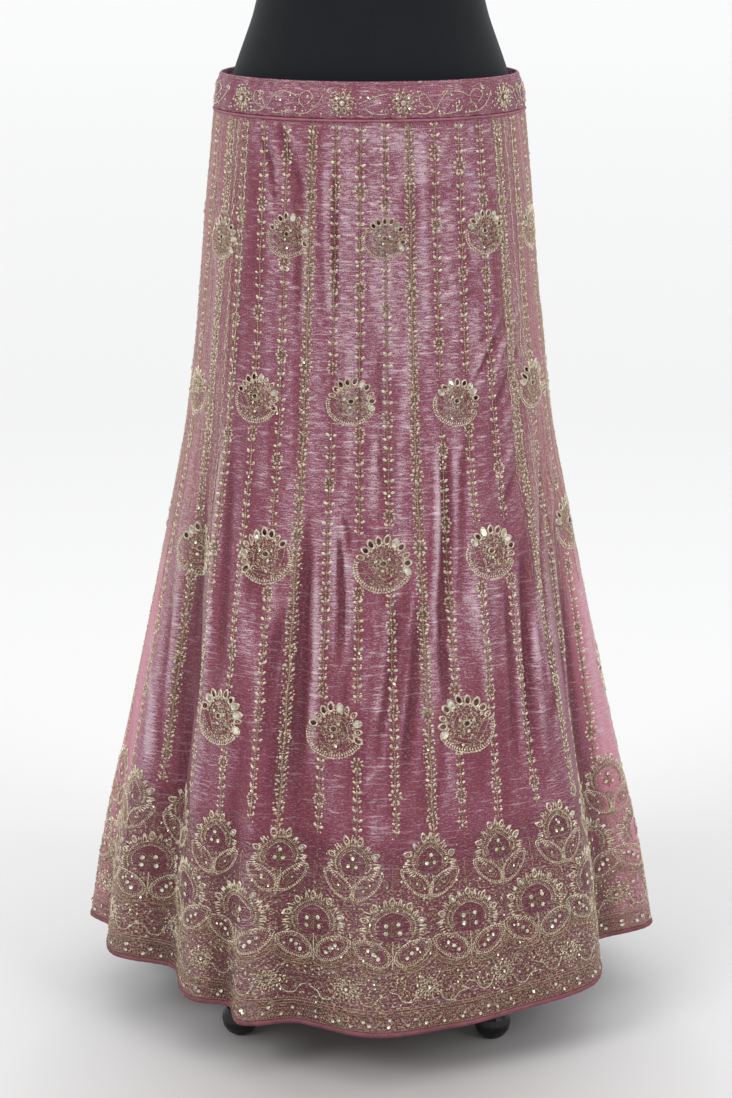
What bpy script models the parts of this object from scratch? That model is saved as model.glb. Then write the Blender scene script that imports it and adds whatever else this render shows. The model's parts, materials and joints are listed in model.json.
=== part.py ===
"""Lehenga skirt on a limbless dress form.

Metres, +Z up, the front faces -Y and the wearer's left side is at +X.
The origin is on the floor, under the middle of the object.

The skirt is eight gored panels (kalis) between a two-piece waistband and a
narrow bound hem. All of them are walls cut from one surface, skirt_point(),
which is worked out from the two short tables below. The dress form is a
fabric-covered torso on a pole with a four-legged base and round feet.
"""
import math

import bpy
import bmesh
import numpy as np

# ------------------------------------------------------------ driving sizes
WALL = 0.0020          # cloth with its embroidery and backing
GAP = 0.0003           # between neighbouring pieces at a seam
Z_SEAM = 1.0610        # waist seam, where the kalis hang from the band
PIPING = 0.0028        # height of the corded piping that lies in the seam
Z_BAND_TOP = 1.1030    # top edge of the waistband at the sides
BAND_DIP = 0.0030      # how much lower that edge is at the centre front
HEM_FRONT = 0.0600     # hem above the floor at the centre front and back
HEM_SIDE = 0.0880      # hem above the floor at the two sides
BINDING = 0.0060       # height of the plain bound edge of the hem

KALI_COLUMNS = 16      # divisions across one kali
KALI_ROWS = 12         # divisions down one kali

# Outline of the skirt without its folds, a row for each section:
#   height z, half width a (left to right), half depth b (front to back)
SECTIONS = (
    (1.1060, 0.1675, 0.1260),
    (1.0900, 0.1712, 0.1290),
    (1.0610, 0.1745, 0.1325),
    (0.9800, 0.1825, 0.1420),
    (0.8430, 0.1945, 0.1560),
    (0.7020, 0.2115, 0.1760),
    (0.6310, 0.2250, 0.1890),
    (0.4860, 0.2540, 0.2160),
    (0.3380, 0.2850, 0.2440),
    (0.1860, 0.3180, 0.2720),
    (0.0600, 0.3370, 0.2870),
)

# Largest folds, a row for each ridge or valley going round from the left side
# over the front to the right side and the back:
#   name, angle at the hem, angle at the waist (degrees, 0 at the front,
#   + towards +X), how far the hem stands out (+) or in (-) there in metres,
#   height where the fold starts
FOLDS = (
    ("side_left_ridge",    -92.0, -86.0,  0.0040, 0.62),
    ("side_left_valley",   -83.0, -78.0, -0.0230, 0.42),
    ("left_ridge",         -68.0, -70.0, -0.0060, 0.70),
    ("left_deep_valley",   -53.0, -62.0, -0.0540, 0.78),
    ("left_box_ridge",     -38.5, -54.0, -0.0120, 0.80),
    ("left_box_valley",    -31.0, -38.0, -0.0280, 0.40),
    ("left_front_ridge",   -25.0, -29.0,  0.0090, 0.58),
    ("front_valley",       -15.0, -17.0, -0.0225, 0.60),
    ("front_ridge",          2.0,   0.0,  0.0060, 0.60),
    ("front_right_valley",  17.0,  16.0, -0.0055, 0.62),
    ("front_right_hollow",  31.0,  30.0, -0.0110, 0.55),
    ("right_box_ridge",     49.0,  54.0,  0.0010, 0.80),
    ("right_deep_valley",   71.5,  64.0, -0.0530, 0.78),
    ("side_right_ridge",    86.5,  80.0,  0.0075, 0.70),
    ("back_r_valley_1",    101.0,  98.0, -0.0260, 0.55),
    ("back_r_ridge_1",     113.0, 112.0,  0.0060, 0.60),
    ("back_r_valley_2",    128.0, 126.0, -0.0330, 0.66),
    ("back_r_ridge_2",     145.0, 144.0,  0.0075, 0.70),
    ("back_valley_1",      161.0, 160.0, -0.0240, 0.56),
    ("back_ridge",         177.0, 177.0,  0.0060, 0.62),
    ("back_valley_2",      193.0, 194.0, -0.0300, 0.68),
    ("back_l_ridge_2",     209.0, 210.0,  0.0075, 0.64),
    ("back_l_valley_2",    223.0, 225.0, -0.0270, 0.52),
    ("back_l_ridge_1",     238.0, 240.0,  0.0060, 0.70),
    ("back_l_valley_1",    254.0, 256.0, -0.0300, 0.60),
)

# The kalis: name, angles of the two seams at the waist (degrees)
KALIS = (
    ("kali_side_left",    -112.0, -61.0),
    ("kali_front_left",    -61.0, -20.5),
    ("kali_front_centre",  -20.5,  14.0),
    ("kali_front_right",    14.0,  53.0),
    ("kali_side_right",     53.0, 100.0),
    ("kali_back_right",    100.0, 149.0),
    ("kali_back_centre",   149.0, 199.0),
    ("kali_back_left",     199.0, 248.0),
)

# Dress form: height z, half width, half depth, forward shift of the centre
TORSO = (
    (0.7400, 0.1130, 0.0800,  0.004),
    (0.7420, 0.1180, 0.0850,  0.004),
    (0.7520, 0.1240, 0.0905,  0.004),
    (0.8200, 0.1440, 0.1040,  0.004),
    (0.9000, 0.1600, 0.1150,  0.003),
    (0.9800, 0.1670, 0.1205,  0.000),
    (1.0400, 0.1665, 0.1180,  0.000),
    (1.0900, 0.1580, 0.1100, -0.001),
    (1.1350, 0.1428, 0.0990, -0.002),
    (1.1800, 0.1275, 0.0905, -0.003),
    (1.2050, 0.1240, 0.0890, -0.004),
    (1.2400, 0.1275, 0.0925, -0.007),
    (1.3000, 0.1420, 0.1060, -0.013),
    (1.3600, 0.1560, 0.1180, -0.017),
    (1.4200, 0.1640, 0.1150, -0.012),
    (1.4700, 0.1700, 0.1000, -0.004),
    (1.5100, 0.1690, 0.0850,  0.004),
    (1.5350, 0.1520, 0.0720,  0.009),
    (1.5520, 0.1180, 0.0620,  0.012),
    (1.5680, 0.0820, 0.0560,  0.014),
    (1.5850, 0.0640, 0.0540,  0.014),
    (1.6200, 0.0560, 0.0530,  0.012),
    (1.6500, 0.0550, 0.0530,  0.011),
)
TORSO_SIDES = 40

POLE_RADIUS = 0.0140
POLE_FOOT = 0.0700
HUB_TOP = 0.1500
FOOT_RADIUS = 0.0215   # round foot under each leg
FOOT_FLAT = 0.0090     # radius of its flat underside
FOOT_TOP = 0.0440
FOOT_REACH = 0.2080    # from the pole's axis to the foot's axis
LEG_RADIUS = 0.0090
BASE_TURN = -2.0       # degrees that the base is turned from square

COLORS = {             # base colour, roughness, metallic
    "tissue_pink": ((0.42, 0.13, 0.20, 1.0), 0.45, 0.0),
    "binding_pink": ((0.40, 0.12, 0.19, 1.0), 0.55, 0.0),
    "form_black": ((0.016, 0.019, 0.023, 1.0), 0.85, 0.0),
    "stand_black": ((0.010, 0.010, 0.011, 1.0), 0.35, 0.6),
    "foot_black": ((0.008, 0.008, 0.008, 1.0), 0.30, 0.0),
}


# --------------------------------------------------------- surface functions
def smooth(w):
    return w * w * (3.0 - 2.0 * w)


def table_curve(rows, x, column):
    """Monotone cubic through one column of a table whose first column is x."""
    xs = [r[0] for r in rows]
    ys = [r[column] for r in rows]
    if xs[0] > xs[-1]:
        xs, ys = xs[::-1], ys[::-1]
    if x <= xs[0]:
        return ys[0]
    if x >= xs[-1]:
        return ys[-1]
    d = [(ys[i + 1] - ys[i]) / (xs[i + 1] - xs[i]) for i in range(len(xs) - 1)]
    m = [d[0]]
    for i in range(1, len(d)):
        m.append(0.0 if d[i - 1] * d[i] <= 0 else 2 * d[i - 1] * d[i] / (d[i - 1] + d[i]))
    m.append(d[-1])
    i = max(k for k in range(len(xs) - 1) if xs[k] <= x)
    h = xs[i + 1] - xs[i]
    s = (x - xs[i]) / h
    return (ys[i] * (1 + 2 * s) * (1 - s) ** 2 + m[i] * h * s * (1 - s) ** 2
            + ys[i + 1] * s * s * (3 - 2 * s) + m[i + 1] * h * s * s * (s - 1))


def hem_height(t):
    return HEM_FRONT + (HEM_SIDE - HEM_FRONT) * math.sin(t) ** 2


def fold_offset(t, z):
    """How far the cloth stands out from the plain outline, in metres."""
    down = min(1.0, max(0.0, (Z_SEAM - z) / (Z_SEAM - HEM_FRONT)))
    rows = []
    for _, hem, waist, out, start in FOLDS:
        grow = max(0.0, (start - z) / (start - HEM_FRONT))
        rows.append((math.radians(waist + (hem - waist) * down), out * min(1.0, grow) ** 1.25))
    turn = 2.0 * math.pi
    first = rows[0][0]
    t = (t - first) % turn + first
    rows.append((first + turn, rows[0][1]))
    for (t0, o0), (t1, o1) in zip(rows, rows[1:]):
        if t <= t1:
            return o0 + (o1 - o0) * smooth((t - t0) / (t1 - t0))
    return rows[-1][1]


def skirt_point(t, z, out=0.0):
    """Point of the cloth's outer face at angle t and height z, moved out."""
    a = table_curve(SECTIONS, z, 1)
    b = table_curve(SECTIONS, z, 2)
    nx, ny = b * math.sin(t), -a * math.cos(t)
    n = math.hypot(nx, ny)
    off = fold_offset(t, z)
    return np.array((a * math.sin(t) + off * nx / n,
                     -b * math.cos(t) + off * ny / n, z)) + CENTRE, (nx / n, ny / n)


def level_normal(t, z):
    """Outward level normal of the folded cloth."""
    e = 0.004
    p, n0 = skirt_point(t - e, z)
    q, _ = skirt_point(t + e, z)
    dx, dy = q[0] - p[0], q[1] - p[1]
    n = math.hypot(dx, dy)
    nx, ny = dy / n, -dx / n
    if nx * n0[0] + ny * n0[1] < 0:
        nx, ny = -nx, -ny
    return nx, ny


CENTRE = np.zeros(3)
_ring = [skirt_point(math.radians(d), hem_height(math.radians(d)))[0] for d in range(-180, 180)]
CENTRE = np.array((-(min(p[0] for p in _ring) + max(p[0] for p in _ring)) / 2,
                   -(min(p[1] for p in _ring) + max(p[1] for p in _ring)) / 2, 0.0))


def outer_inner(t, z, out=0.0, wall=WALL):
    p, _ = skirt_point(t, z)
    nx, ny = level_normal(t, z)
    return ((p[0] + nx * out, p[1] + ny * out, z),
            (p[0] + nx * (out - wall), p[1] + ny * (out - wall), z))


# ------------------------------------------------------------- mesh helpers
def material(name):
    mat = bpy.data.materials.get(name)
    if mat is None:
        mat = bpy.data.materials.new(name)
        mat.use_nodes = True
        color, rough, metal = COLORS[name]
        bsdf = mat.node_tree.nodes["Principled BSDF"]
        bsdf.inputs["Base Color"].default_value = color
        bsdf.inputs["Roughness"].default_value = rough
        bsdf.inputs["Metallic"].default_value = metal
        mat.diffuse_color = color
    return mat


def add_object(name, mesh, mat):
    ob = bpy.data.objects.new(name, mesh)
    mesh.materials.append(material(mat))
    mesh.shade_smooth()
    mesh.set_sharp_from_angle(angle=math.radians(40))
    COLLECTION.objects.link(ob)
    return ob


def wall_piece(name, grid, mat):
    """Closed wall from a grid of (outer, inner) points, rows from top down."""
    rows, cols = len(grid), len(grid[0])
    bm = bmesh.new()
    outer = [[bm.verts.new(p[0]) for p in row] for row in grid]
    inner = [[bm.verts.new(p[1]) for p in row] for row in grid]
    for r in range(rows - 1):
        for c in range(cols - 1):
            bm.faces.new((outer[r][c], outer[r + 1][c], outer[r + 1][c + 1], outer[r][c + 1]))
            bm.faces.new((inner[r][c], inner[r][c + 1], inner[r + 1][c + 1], inner[r + 1][c]))
    for c in range(cols - 1):
        bm.faces.new((outer[0][c], outer[0][c + 1], inner[0][c + 1], inner[0][c]))
        bm.faces.new((outer[-1][c + 1], outer[-1][c], inner[-1][c], inner[-1][c + 1]))
    for r in range(rows - 1):
        bm.faces.new((outer[r + 1][0], outer[r][0], inner[r][0], inner[r + 1][0]))
        bm.faces.new((outer[r][-1], outer[r + 1][-1], inner[r + 1][-1], inner[r][-1]))
    bmesh.ops.triangulate(bm, faces=bm.faces[:])
    mesh = bpy.data.meshes.new(name)
    bm.to_mesh(mesh)
    bm.free()
    return add_object(name, mesh, mat)


def ring_piece(name, rings, mat):
    """Closed loft of rings of equal count, capped at both ends."""
    bm = bmesh.new()
    loops = [[bm.verts.new(p) for p in ring] for ring in rings]
    count = len(loops[0])
    for low, high in zip(loops, loops[1:]):
        for i in range(count):
            j = (i + 1) % count
            bm.faces.new((low[i], low[j], high[j], high[i]))
    bm.faces.new(loops[0][::-1])
    bm.faces.new(loops[-1])
    bmesh.ops.recalc_face_normals(bm, faces=bm.faces[:])
    bmesh.ops.triangulate(bm, faces=bm.faces[:])
    mesh = bpy.data.meshes.new(name)
    bm.to_mesh(mesh)
    bm.free()
    return add_object(name, mesh, mat)


def turned_piece(name, profile, steps, mat, location=(0, 0, 0)):
    """Screw of a profile that runs down its outer side from axis to axis."""
    mesh = bpy.data.meshes.new(name)
    mesh.from_pydata([(r, 0.0, z) for r, z in profile], [(i, i + 1) for i in range(len(profile) - 1)], [])
    ob = bpy.data.objects.new(name, mesh)
    mesh.materials.append(material(mat))
    COLLECTION.objects.link(ob)
    ob.location = location
    screw = ob.modifiers.new("turn", "SCREW")
    screw.axis = "Z"
    screw.steps = steps
    screw.render_steps = steps
    screw.use_merge_vertices = True
    screw.merge_threshold = 0.00005
    screw.use_smooth_shade = True
    return ob


def tube_piece(name, points, radius, mat, resolution=3):
    """Tube along a poly spline with filled ends."""
    curve = bpy.data.curves.new(name, "CURVE")
    curve.dimensions = "3D"
    curve.bevel_depth = radius
    curve.bevel_resolution = resolution
    curve.use_fill_caps = True
    spline = curve.splines.new("POLY")
    spline.points.add(len(points) - 1)
    for sp, p in zip(spline.points, points):
        sp.co = (*p, 1.0)
    ob = bpy.data.objects.new(name, curve)
    curve.materials.append(material(mat))
    COLLECTION.objects.link(ob)
    return ob


# ------------------------------------------------------------------ cleaning
for ob in list(bpy.data.objects):
    bpy.data.objects.remove(ob, do_unlink=True)

COLLECTION = bpy.data.collections.new("lehenga_skirt_on_dress_form")
bpy.context.scene.collection.children.link(COLLECTION)


# --------------------------------------------------------------------- kalis
def seam_angle(waist_deg, z):
    """A kali's seam keeps its angle; the kali widens with the skirt."""
    return math.radians(waist_deg)


for name, left, right in KALIS:
    grid = []
    for r in range(KALI_ROWS + 1):
        v = r / KALI_ROWS
        row = []
        for c in range(KALI_COLUMNS + 1):
            t = math.radians(left + (right - left) * c / KALI_COLUMNS)
            low = hem_height(t) + BINDING + GAP
            z = Z_SEAM + (low - Z_SEAM) * v
            # half a seam's gap comes off each side, measured along the cloth
            scale = math.hypot(table_curve(SECTIONS, z, 1) * math.cos(t),
                               table_curve(SECTIONS, z, 2) * math.sin(t))
            if c == 0:
                t += (GAP * 0.75) / scale
            if c == KALI_COLUMNS:
                t -= (GAP * 0.75) / scale
            row.append(outer_inner(t, z))
        grid.append(row)
    wall_piece(name, grid, "tissue_pink")

# --------------------------------------------------------------- hem binding
# A folded strip round the cut edge, a little proud of the kalis, in two
# lengths that meet at the side seams.
for name, left, right in (("hem_binding_front", -112.0, 100.0), ("hem_binding_back", 100.0, 248.0)):
    columns = round((right - left) / 3.1)
    grid = []
    for r in range(2):
        row = []
        for c in range(columns + 1):
            t = math.radians(left + (right - left) * c / columns)
            if c == 0:
                t += 0.0008
            if c == columns:
                t -= 0.0008
            z = hem_height(t) + BINDING * (1 - r)
            row.append(outer_inner(t, z, out=0.0005, wall=WALL + 0.001))
        grid.append(row)
    wall_piece(name, grid, "binding_pink")


# ----------------------------------------------------------------- waistband
def band_top(t):
    return Z_BAND_TOP - BAND_DIP * max(0.0, math.cos(t)) ** 2


for name, left, right in (("waistband_front", -112.0, 100.0), ("waistband_back", 100.0, 248.0)):
    columns = round((right - left) / 5.0)
    grid = []
    for r in range(4):
        row = []
        for c in range(columns + 1):
            t = math.radians(left + (right - left) * c / columns)
            if c == 0:
                t += 0.0015
            if c == columns:
                t -= 0.0015
            low = Z_SEAM + PIPING + 2 * GAP
            z = band_top(t) + (low - band_top(t)) * r / 3
            row.append(outer_inner(t, z, out=0.0008, wall=0.0026))
        grid.append(row)
    wall_piece(name, grid, "tissue_pink")

# --------------------------------------------------------------- waist piping
# A corded edge laid all the way round in the seam under the band.
bm = bmesh.new()
section = [(0.0022, 0.5), (0.0012, 1.0), (-0.0016, 1.0), (-0.0016, 0.0), (0.0012, 0.0)]
steps = 72
loops = []
for i in range(steps):
    t = 2 * math.pi * i / steps
    loop = []
    for out, up in section:
        z = Z_SEAM + GAP + PIPING * up
        p, n = skirt_point(t, z)
        loop.append(bm.verts.new((p[0] + n[0] * out, p[1] + n[1] * out, z)))
    loops.append(loop)
for i in range(steps):
    here, after = loops[i], loops[(i + 1) % steps]
    for k in range(len(section)):
        m = (k + 1) % len(section)
        bm.faces.new((here[k], here[m], after[m], after[k]))
bmesh.ops.recalc_face_normals(bm, faces=bm.faces[:])
bmesh.ops.triangulate(bm, faces=bm.faces[:])
mesh = bpy.data.meshes.new("waist_piping")
bm.to_mesh(mesh)
bm.free()
add_object("waist_piping", mesh, "binding_pink")

# ---------------------------------------------------------------- dress form
rings = []
for z, half_width, half_depth, forward in TORSO:
    ring = []
    for i in range(TORSO_SIDES):
        t = 2 * math.pi * i / TORSO_SIDES
        # a little squarer than an ellipse, as a torso is
        c, s = math.cos(t), math.sin(t)
        k = 1.0 / (abs(c) ** 2.15 + abs(s) ** 2.15) ** (1 / 2.15)
        ring.append((half_width * c * k, half_depth * s * k + forward, z))
    rings.append(ring)
ring_piece("form_torso", rings, "form_black")

# neck cap: a turned disc with a low crown, just above the neck
turned_piece("form_neck_cap",
             [(0.0, 0.0160), (0.030, 0.0145), (0.046, 0.0105), (0.0520, 0.0050),
              (0.0520, 0.0), (0.0, 0.0)], 32, "form_black", (0.0, 0.011, 1.6503))

# pole from the hub up to the form's flat underside
turned_piece("stand_pole",
             [(0.0, 0.7397), (POLE_RADIUS, 0.7397), (POLE_RADIUS, HUB_TOP + GAP), (0.0, HUB_TOP + GAP)],
             20, "stand_black")

# hub that carries the pole and the four legs
turned_piece("stand_hub",
             [(0.0, HUB_TOP), (0.019, HUB_TOP), (0.022, HUB_TOP - 0.004), (0.024, 0.124),
              (0.032, 0.118), (0.032, POLE_FOOT + 0.006), (0.026, POLE_FOOT), (0.0, POLE_FOOT)],
             24, "stand_black")

for index, side in enumerate(("front_right", "back_right", "back_left", "front_left")):
    turn = math.radians(-45.0 + 90.0 * index + BASE_TURN)
    ux, uy = math.cos(turn), math.sin(turn)
    # the leg leaves the hub level, bows a little and turns down into the foot
    route = [(0.0324, 0.0960), (0.0600, 0.0960), (0.1100, 0.0945), (0.1550, 0.0900),
             (0.1830, 0.0830), (0.1990, 0.0740), (0.2060, 0.0650), (FOOT_REACH, 0.0570),
             (FOOT_REACH, FOOT_TOP + GAP)]
    tube_piece("stand_leg_" + side, [(ux * r, uy * r, z) for r, z in route], LEG_RADIUS, "stand_black")
    # round foot: a ball with a flat underside and a short collar
    ball = [(0.0, FOOT_TOP), (0.0105, FOOT_TOP), (0.0105, 0.0415)]
    low = math.acos(FOOT_FLAT / FOOT_RADIUS)
    centre = FOOT_RADIUS * math.sin(low)
    high = math.acos(0.0105 / FOOT_RADIUS)
    for k in range(7):
        angle = high - (high + low) * k / 6
        ball.append((FOOT_RADIUS * math.cos(angle), centre + FOOT_RADIUS * math.sin(angle)))
    ball[2] = (0.0105, ball[3][1] + 0.0015)
    ball.append((0.0, 0.0))
    turned_piece("foot_" + side, ball, 18, "foot_black", (ux * FOOT_REACH, uy * FOOT_REACH, 0.0))
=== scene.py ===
import json
import math

import bmesh
import bpy
import numpy as np
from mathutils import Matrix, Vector
from mathutils.kdtree import KDTree


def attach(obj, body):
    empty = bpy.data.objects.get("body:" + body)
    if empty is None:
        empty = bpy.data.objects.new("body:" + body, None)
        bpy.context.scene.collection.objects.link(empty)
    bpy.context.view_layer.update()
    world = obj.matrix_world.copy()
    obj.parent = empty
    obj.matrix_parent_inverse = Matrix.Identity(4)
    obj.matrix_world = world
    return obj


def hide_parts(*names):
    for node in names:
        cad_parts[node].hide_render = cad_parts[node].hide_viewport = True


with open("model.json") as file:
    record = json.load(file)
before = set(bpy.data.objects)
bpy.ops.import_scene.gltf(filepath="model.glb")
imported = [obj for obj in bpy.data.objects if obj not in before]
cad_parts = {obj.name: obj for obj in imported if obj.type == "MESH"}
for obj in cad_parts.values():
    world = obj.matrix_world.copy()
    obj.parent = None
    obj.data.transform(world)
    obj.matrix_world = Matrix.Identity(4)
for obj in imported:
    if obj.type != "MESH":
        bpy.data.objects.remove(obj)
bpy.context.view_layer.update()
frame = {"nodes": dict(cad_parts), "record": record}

# =====================================================================
# Sizes, repeated from the part, in metres
# =====================================================================
Z_SEAM = 1.0610
PIPING = 0.0028
GAP = 0.0003
Z_BAND_TOP = 1.1030
BAND_RISE = 0.0015
HEM_FRONT = 0.0600
HEM_SIDE = 0.0880
BINDING = 0.0060
CENTRE_X = -0.00145
CENTRE_Y = 0.00011

# height, half width, half depth
SECTIONS = np.array((
    (1.1060, 0.1675, 0.1260),
    (1.0900, 0.1712, 0.1290),
    (1.0610, 0.1745, 0.1325),
    (0.9800, 0.1825, 0.1420),
    (0.8430, 0.1945, 0.1560),
    (0.7020, 0.2115, 0.1760),
    (0.6310, 0.2250, 0.1890),
    (0.4860, 0.2540, 0.2160),
    (0.3380, 0.2850, 0.2440),
    (0.1860, 0.3180, 0.2720),
    (0.0600, 0.3370, 0.2870),
))[::-1]

# angle at the hem, angle at the waist, how far the hem stands out or in,
# height where the fold starts
FOLDS = (
    (-92.0, -86.0, 0.0040, 0.62),
    (-83.0, -78.0, -0.0230, 0.42),
    (-68.0, -70.0, -0.0060, 0.70),
    (-53.0, -62.0, -0.0540, 0.78),
    (-38.5, -54.0, -0.0120, 0.80),
    (-31.0, -38.0, -0.0280, 0.40),
    (-25.0, -29.0, 0.0090, 0.58),
    (-15.0, -17.0, -0.0225, 0.60),
    (2.0, 0.0, 0.0060, 0.60),
    (17.0, 16.0, -0.0055, 0.62),
    (31.0, 30.0, -0.0110, 0.55),
    (49.0, 54.0, 0.0010, 0.80),
    (71.5, 64.0, -0.0530, 0.78),
    (86.5, 80.0, 0.0075, 0.70),
    (101.0, 98.0, -0.0260, 0.55),
    (113.0, 112.0, 0.0060, 0.60),
    (128.0, 126.0, -0.0330, 0.66),
    (145.0, 144.0, 0.0075, 0.70),
    (161.0, 160.0, -0.0240, 0.56),
    (177.0, 177.0, 0.0060, 0.62),
    (193.0, 194.0, -0.0300, 0.68),
    (209.0, 210.0, 0.0075, 0.64),
    (223.0, 225.0, -0.0270, 0.52),
    (238.0, 240.0, 0.0060, 0.70),
    (254.0, 256.0, -0.0300, 0.60),
)

# kali, left seam, right seam, lean of its plain vines towards the hem
KALIS = (
    ("kali_side_left", -112.0, -61.0, 0.0),
    ("kali_front_left", -61.0, -20.5, 5.0),
    ("kali_front_centre", -20.5, 14.0, 0.5),
    ("kali_front_right", 14.0, 53.0, -3.5),
    ("kali_side_right", 53.0, 100.0, -1.0),
    ("kali_back_right", 100.0, 149.0, 0.0),
    ("kali_back_centre", 149.0, 199.0, 0.0),
    ("kali_back_left", 199.0, 248.0, 0.0),
)

# =====================================================================
# Camera: the photograph's, 3.4 m in front of the skirt and 1.45 m up
# =====================================================================
IMG_W, IMG_H = 732.0, 1098.0
CAM_X, CAM_D, CAM_Z = -0.0053, 3.4, 1.45
CAM_PITCH = math.radians(14.8634)
FOCAL_PX = 3006.8

cam_data = bpy.data.cameras.new("photo_camera")
cam_data.sensor_fit = "VERTICAL"
cam_data.sensor_height = 36.0
cam_data.lens = FOCAL_PX * 36.0 / IMG_H
cam_data.clip_end = 200.0
cam = bpy.data.objects.new("photo_camera", cam_data)
cam.location = (CAM_X, -CAM_D, CAM_Z)
cam.rotation_euler = (math.pi / 2 - CAM_PITCH, 0.0, 0.0)
bpy.context.scene.collection.objects.link(cam)
bpy.context.scene.camera = cam


def project(p):
    sp, cp = math.sin(CAM_PITCH), math.cos(CAM_PITCH)
    dy, dz = p[..., 1] + CAM_D, p[..., 2] - CAM_Z
    depth = dy * cp - dz * sp
    return (IMG_W / 2 + FOCAL_PX * (p[..., 0] - CAM_X) / depth,
            IMG_H / 2 - FOCAL_PX * (dy * sp + dz * cp) / depth)


# =====================================================================
# The cloth's surface as functions of angle t (0 at the front) and height z
# =====================================================================
def curve(xs, ys, x):
    """Monotone cubic through a table's column."""
    d = np.diff(ys) / np.diff(xs)
    m = np.empty(len(xs))
    m[0], m[-1] = d[0], d[-1]
    same = d[:-1] * d[1:] > 0
    with np.errstate(divide="ignore", invalid="ignore"):
        m[1:-1] = np.where(same, 2 * d[:-1] * d[1:] / (d[:-1] + d[1:]), 0.0)
    x = np.clip(x, xs[0], xs[-1])
    i = np.clip(np.searchsorted(xs, x, side="right") - 1, 0, len(xs) - 2)
    h = xs[i + 1] - xs[i]
    s = (x - xs[i]) / h
    return (ys[i] * (1 + 2 * s) * (1 - s) ** 2 + m[i] * h * s * (1 - s) ** 2
            + ys[i + 1] * s * s * (3 - 2 * s) + m[i + 1] * h * s * s * (s - 1))


def half_width(z):
    return curve(SECTIONS[:, 0], SECTIONS[:, 1], z)


def half_depth(z):
    return curve(SECTIONS[:, 0], SECTIONS[:, 2], z)


def smooth(w):
    w = np.clip(w, 0.0, 1.0)
    return w * w * (3.0 - 2.0 * w)


def hem_height(t):
    return HEM_FRONT + (HEM_SIDE - HEM_FRONT) * np.sin(t) ** 2


def fold_offset(t, z):
    t, z = np.broadcast_arrays(np.asarray(t, float), np.asarray(z, float))
    down = np.clip((Z_SEAM - z) / (Z_SEAM - HEM_FRONT), 0.0, 1.0)
    at, out = [], []
    for hem, waist, o, start in FOLDS:
        grow = np.clip((start - z) / (start - HEM_FRONT), 0.0, 1.0)
        at.append(np.radians(waist + (hem - waist) * down))
        out.append(o * grow ** 1.25)
    first = at[0]
    tt = (t - first) % (2 * math.pi) + first
    at.append(first + 2 * math.pi)
    out.append(out[0])
    off = np.zeros_like(tt)
    for k in range(len(FOLDS)):
        inside = (tt >= at[k]) & (tt <= at[k + 1])
        w = smooth((tt - at[k]) / np.maximum(at[k + 1] - at[k], 1e-6))
        off = np.where(inside, out[k] + (out[k + 1] - out[k]) * w, off)
    return off


def ring_scale(t, z):
    """Metres of cloth for each radian, on the plain outline."""
    return np.hypot(half_width(z) * np.cos(t), half_depth(z) * np.sin(t))


def surface(t, z, out=0.0):
    t, z = np.broadcast_arrays(np.asarray(t, float), np.asarray(z, float))
    a, b = half_width(z), half_depth(z)
    nx, ny = b * np.sin(t), -a * np.cos(t)
    n = np.hypot(nx, ny)
    off = fold_offset(t, z) + out
    return np.stack((a * np.sin(t) + off * nx / n + CENTRE_X,
                     -b * np.cos(t) + off * ny / n + CENTRE_Y, z), -1)


def grid_normals(p):
    du = np.gradient(p, axis=0)
    dv = np.gradient(p, axis=1)
    n = np.cross(dv, du)
    n /= np.maximum(np.linalg.norm(n, axis=-1, keepdims=True), 1e-12)
    return n


STEP = 0.625
NV = 316
T_LIST, SEAM_INDEX = [], [0]
for name, left, right, lean in KALIS:
    n = int(round((right - left) / STEP))
    T_LIST.extend(np.radians(np.linspace(left, right, n + 1)[:-1]))
    SEAM_INDEX.append(len(T_LIST))
T_LIST.append(math.radians(KALIS[-1][2]))
T = np.array(T_LIST)
V = np.linspace(0.0, 1.0, NV + 1)
LOW = hem_height(T) + 0.0012
ZG = Z_SEAM + (LOW[:, None] - Z_SEAM) * V[None, :]
TG = np.broadcast_to(T[:, None], ZG.shape)
BASE = surface(TG, ZG)
RG = ring_scale(TG, ZG)

# lookup from a pixel of the photograph to (t, z) on the cloth
_front = [i for i in range(0, len(T)) if -1.75 < T[i] < 1.75]
_jj = list(range(0, NV + 1, 2))
_kd = KDTree(len(_front) * len(_jj))
_px, _py = project(BASE)
_toward = grid_normals(BASE)
_view = BASE - np.array((CAM_X, -CAM_D, CAM_Z))
_facing = (_toward * _view).sum(-1)
if _facing[len(T) // 3, NV // 2] > 0:
    _toward, _facing = -_toward, -_facing
for i in _front:
    for j in _jj:
        if _facing[i, j] < 0.0:
            _kd.insert((_px[i, j], _py[i, j], 0.0), i * 10000 + j)
_kd.balance()


def at_px(x, y):
    _, key, _ = _kd.find((x, y, 0.0))
    i, j = divmod(key, 10000)
    return float(T[i]), float(ZG[i, j])


# ---------------------------------------------------------------------
# Creases, listed one by one: where each starts, bends and ends in the picture,
# how far it stands out (mm) and its width (mm)
# ---------------------------------------------------------------------
rng = np.random.default_rng(20)
D = np.zeros_like(ZG)
# painted light (+) and painted shade (-) on the cloth, laid along creases and bands
PAINTED_LIGHT_SHADE = np.zeros_like(ZG)


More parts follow.
